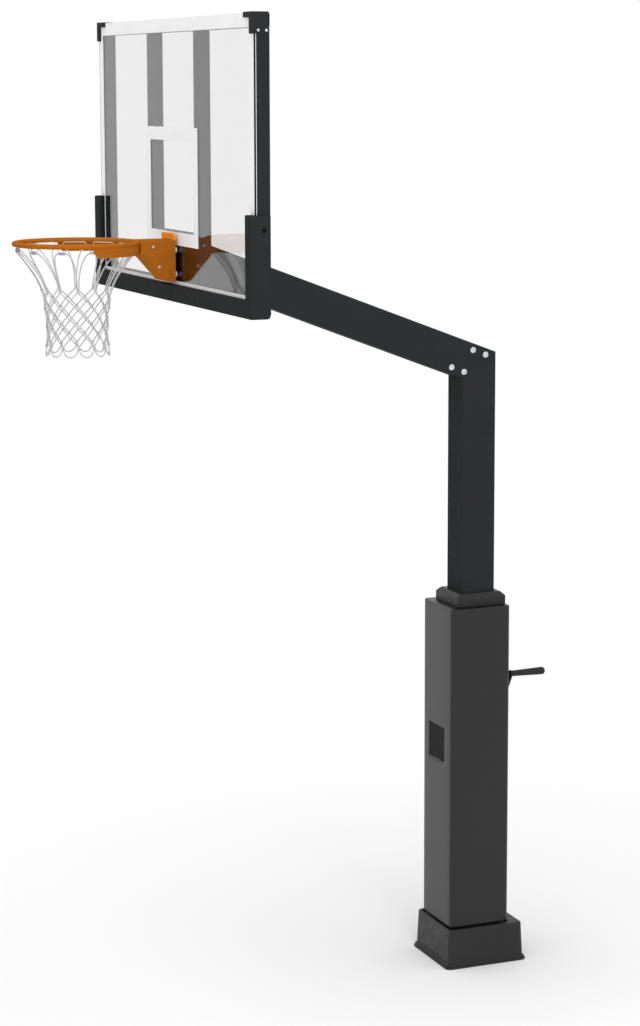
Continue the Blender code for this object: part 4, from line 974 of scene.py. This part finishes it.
def make_backboard_pad():
    """The moulded pad with round edges, hollowed where the board stands in it."""
    bm = bmesh.new()
    sweep_rows(bm, foam_rows())
    pad = new_object("backboard_pad_foam", bm, "foam", 40)
    glass_low, glass_high = GLASS_BOX
    clear = 0.0004
    hollow_low = (glass_low.x - clear, glass_low.y - clear, glass_low.z - clear)
    cut_with_box(pad, hollow_low, (glass_high.x + clear, BEHIND_BOARD_Y, ABOVE_BOARD_Z))
    x, y, z = BOARD_FITTING
    for side in (-1, 1):
        cut_with_rod(pad, (side * x, y, z), (side, 0, 0), FOAM_HOLE_R, 0.04, "foam")
    flatten(pad)
    place(pad, "mast", "pad_foam", "backboard_pad")


def make_grip():
    """The crank's tapered grip, with a rounded end and shallow rings."""
    low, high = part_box("crank_grip")
    centre = ((low.x + high.x) / 2, 0, (low.z + high.z) / 2)
    root, tip = GRIP_R
    taper = high.y - low.y - 0.0155
    profile = [(GRIP_BORE_R, low.y), (root - 0.001, low.y), (root, low.y + 0.0015)]
    for i in range(1, 25):
        share = i / 25
        wave = 0.00018 * math.cos(2 * math.pi * share * GRIP_RINGS)
        radius = root + (tip - root) * share ** 1.2 + wave
        profile.append((radius, low.y + 0.0015 + taper * share))
    for i in range(9):
        turn = math.pi / 2 * i / 8
        height = high.y - GRIP_DOME + 0.0138 * math.sin(turn)
        profile.append((max(tip * math.cos(turn), AXIS_R), height))
    profile += [(AXIS_R, high.y - 0.012), (GRIP_BORE_R, high.y - 0.012)]
    grip = lathe("crank_grip_rubber", profile, (0, 1, 0), centre, "rubber", ring=True)
    place(grip, "grip", "rubber", "crank_grip")


def square_row(half_x, half_y, z, radius, centre_y=0.0):
    """A loop round a rectangle with round corners."""
    row = []
    for quarter, (sx, sy) in enumerate(CORNERS):
        for step in range(9):
            turn = math.pi / 2 * (quarter + step / 8)
            x = sx * (half_x - radius) + radius * math.cos(turn)
            y = sy * (half_y - radius) + radius * math.sin(turn)
            row.append(Vector((x, y + centre_y, z)))
    return row


def make_base_cover():
    """The skirt with a stepped, beaded lip and a sunken top."""
    rows = [square_row(*row, COVER_CENTRE_Y) for row in COVER_OUTSIDE]
    rows += [square_row(*COVER_SEAT_HALF, z, COVER_SEAT_R, COVER_SEAT_Y) for z in COVER_SEAT_Z]
    rows += [square_row(COVER_HOLE_HALF, COVER_HOLE_HALF, z, COVER_HOLE_R) for z in COVER_HOLE_Z]
    rows += [square_row(*row, COVER_CENTRE_Y) for row in COVER_INSIDE]
    bm = bmesh.new()
    sweep_rows(bm, rows, closed_along=True)
    cover = new_object("base_cover_shell", bm, "plastic", 40)
    flatten(cover)
    place(cover, "post", "cover_plastic", "base_cover")


def make_collar():
    """The cap on the outer pole, its slopes flat and its corners crisp."""
    rows = [square_row(half, half, z, radius) for half, z, radius in COLLAR_ROWS]
    bm = bmesh.new()
    sweep_rows(bm, rows, closed_along=True)
    collar = new_object("collar_shell", bm, "plastic", 30)
    flatten(collar)
    place(collar, "post", "cover_plastic", "collar")


def lowered(obj, above, drop):
    """Moves the points over a height down, so that the piece is less tall."""
    for vertex in obj.data.vertices:
        if vertex.co.z > above:
            vertex.co.z -= drop


def make_spacers():
    """Nylon against the ring's plate and rubber against the glass."""
    for node in sorted(name for name in frame["nodes"] if name.startswith("ring_spacer")):
        low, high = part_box(node)
        radius = (high.x - low.x) / 2
        centre = ((low.x + high.x) / 2, 0, (low.z + high.z) / 2)
        slim = radius - SPACER_STEP
        joint = low.y + SPACER_NYLON
        profile = (
            (SPACER_BORE_R, low.y), (radius - 0.001, low.y), (radius, low.y + 0.001), (radius, joint),
            (slim, joint + 0.0004), (slim, high.y), (SPACER_BORE_R, high.y),
        )
        spacer = lathe(f"{node}_turned", profile, (0, 1, 0), centre, "nylon", ring=True)
        repaint(spacer, "rubber", lambda c: c.y > joint)
        place(spacer, body_of(node), slot_of(node), node)


def make_end_plate():
    """The plate at the arm's end with its bolts bare."""
    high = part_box("arm_end_plate")[1]
    bolts = high.y - BOLT_REACH
    plate = refined("arm_end_plate", "powder", 0.0009)
    repaint(plate, "zinc", lambda c: c.y > bolts)
    lowered(plate, high.z - 0.004, END_PLATE_DROP)


def make_hard_parts():
    """The tubes, plates and fittings with eased edges, and the spacers, cover and collar."""
    for node in ("arm", "inner_pole"):
        refined(node, "powder", 0.0)
    for node in ("outer_pole", "upright_left", "upright_right", "ring_mount_plate"):
        refined(node, "powder", 0.0009)
    for node in ("frame_left", "frame_right", "frame_top", "frame_bottom"):
        refined(node, "powder", 0.0016)
    tube_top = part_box("cross_tube")[1].z
    lowered(refined("cross_tube", "powder", 0.0009), tube_top - 0.012, CROSS_TUBE_DROP)
    make_spacers()
    for node in ("corner_bracket_left", "corner_bracket_right"):
        bracket = refined(node, "bracket", 0.0006)
        repaint(bracket, "zinc", lambda c: abs(c.x) > CORNER_BRACKET_X + 0.0001)
    make_end_plate()
    make_base_cover()
    make_collar()
    refined("crank_arm", "powder", 0.0010)
    refined("crank_bush", "bronze", 0.0005)
    refined("crank_shaft", "zinc", 0.0004)
    refined("height_window", "smoked", 0.0005)


KEPT = {
    "base_plate": "powder", "gear_bracket": "powder", "knee_stub": "powder",
    "thrust_bearing": "steel", "crank_gear": "steel", "lead_screw": "steel", "screw_gear": "steel",
    "screw_nut": "bronze", "lower_guide": "nylon",
}
KEPT_ZINC = ("anchor_bolt_", "ring_bolt_", "spring_")


def dress_kept_nodes():
    """Materials for the nodes that stay as they are."""
    for name, obj in frame["nodes"].items():
        if obj.hide_render:
            continue
        material = "zinc" if name.startswith(KEPT_ZINC) else KEPT[name]
        obj.data.materials.clear()
        obj.data.materials.append(MATERIALS[material])


def floor_material():
    """White that keeps the shadow near the stand and is plain white further off."""
    material, tree, shader = node_tree("studio_floor")
    shader.inputs["Base Color"].default_value = (0.86, 0.86, 0.86, 1)
    shader.inputs["Roughness"].default_value = 1.0
    shader.inputs["Specular IOR Level"].default_value = 0.0
    geometry = add(tree, "ShaderNodeNewGeometry")
    length = add(tree, "ShaderNodeVectorMath", operation="LENGTH")
    tree.links.new(geometry.outputs["Position"], length.inputs[0])
    reach = add(tree, "ShaderNodeMapRange", interpolation_type="SMOOTHSTEP")
    reach.inputs["From Min"].default_value = 0.5
    reach.inputs["From Max"].default_value = 3.4
    tree.links.new(length.outputs["Value"], reach.inputs["Value"])
    white = add(tree, "ShaderNodeEmission", Strength=1.0)
    mix = add(tree, "ShaderNodeMixShader")
    tree.links.new(reach.outputs["Result"], mix.inputs["Fac"])
    tree.links.new(shader.outputs["BSDF"], mix.inputs[1])
    tree.links.new(white.outputs["Emission"], mix.inputs[2])
    tree.links.new(mix.outputs["Shader"], tree.nodes["Material Output"].inputs["Surface"])
    return material


def make_floor():
    """A wide round floor just under the stand."""
    bm = bmesh.new()
    bmesh.ops.create_circle(bm, cap_ends=True, segments=64, radius=60)
    mesh = bpy.data.meshes.new("floor")
    bm.to_mesh(mesh)
    bm.free()
    mesh.materials.append(floor_material())
    floor = bpy.data.objects.new("floor", mesh)
    floor.location.z = -0.0005
    bpy.context.scene.collection.objects.link(floor)


def make_world(ambient):
    """A white room to the camera, to gloss and to glass, and a dimmer one to matte surfaces."""
    world = bpy.data.worlds.new("studio")
    bpy.context.scene.world = world
    world.use_nodes = True
    tree = world.node_tree
    path = add(tree, "ShaderNodeLightPath")
    seen = add(tree, "ShaderNodeMath", operation="ADD")
    seen_all = add(tree, "ShaderNodeMath", operation="ADD", use_clamp=True)
    tree.links.new(path.outputs["Is Camera Ray"], seen.inputs[0])
    tree.links.new(path.outputs["Is Glossy Ray"], seen.inputs[1])
    tree.links.new(seen.outputs[0], seen_all.inputs[0])
    tree.links.new(path.outputs["Is Transmission Ray"], seen_all.inputs[1])
    level = add(tree, "ShaderNodeMapRange")
    level.inputs["To Min"].default_value = ambient
    level.inputs["To Max"].default_value = 1.0
    tree.links.new(seen_all.outputs[0], level.inputs["Value"])
    background = tree.nodes["Background"]
    background.inputs["Color"].default_value = (1, 1, 1, 1)
    tree.links.new(level.outputs["Result"], background.inputs["Strength"])


def area_light(name, location, target, size, power):
    """A round lamp that shines at a target and shows in no gloss or glass."""
    data = bpy.data.lights.new(name, "AREA")
    data.shape = "DISK"
    data.size = size
    data.energy = power
    light = bpy.data.objects.new(name, data)
    light.location = location
    direction = Vector(target) - Vector(location)
    light.rotation_euler = direction.to_track_quat("-Z", "Y").to_euler()
    light.visible_glossy = False
    light.visible_transmission = False
    bpy.context.scene.collection.objects.link(light)


def make_lights():
    """The white room, a large lamp at the camera's side and one above."""
    make_world(0.74)
    area_light("side", (9.0, -2.0, 6.0), (0, -0.5, 2.0), 6.0, 330)
    area_light("top", (0.5, -1.5, 11.0), (0, -0.5, 0.0), 7.0, 400)


def make_camera():
    """The camera that took the photograph."""
    data = bpy.data.cameras.new("camera")
    width, height = IMAGE_SIZE
    data.sensor_width = 36.0
    data.lens = FOCAL_PIXELS / height * data.sensor_width
    data.shift_x = (width / 2 - PRINCIPAL_POINT[0]) / height
    data.shift_y = (PRINCIPAL_POINT[1] - height / 2) / height
    data.clip_end = 200
    camera = bpy.data.objects.new("camera", data)
    camera.location = CAMERA_PLACE
    camera.rotation_euler = (math.pi / 2 - CAMERA_PITCH, 0, CAMERA_AZIMUTH)
    bpy.context.scene.collection.objects.link(camera)
    bpy.context.scene.camera = camera


def main():
    """Builds the whole scene."""
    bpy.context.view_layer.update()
    make_camera()
    make_lights()
    make_floor()
    make_hard_parts()
    make_glass()
    make_backboard_pad()
    make_pole_pad()
    make_knee_bolts()
    make_grip()
    make_rim()
    make_ring_bracket()
    make_net()
    dress_kept_nodes()
    bpy.context.scene.view_settings.view_transform = "Standard"


main()
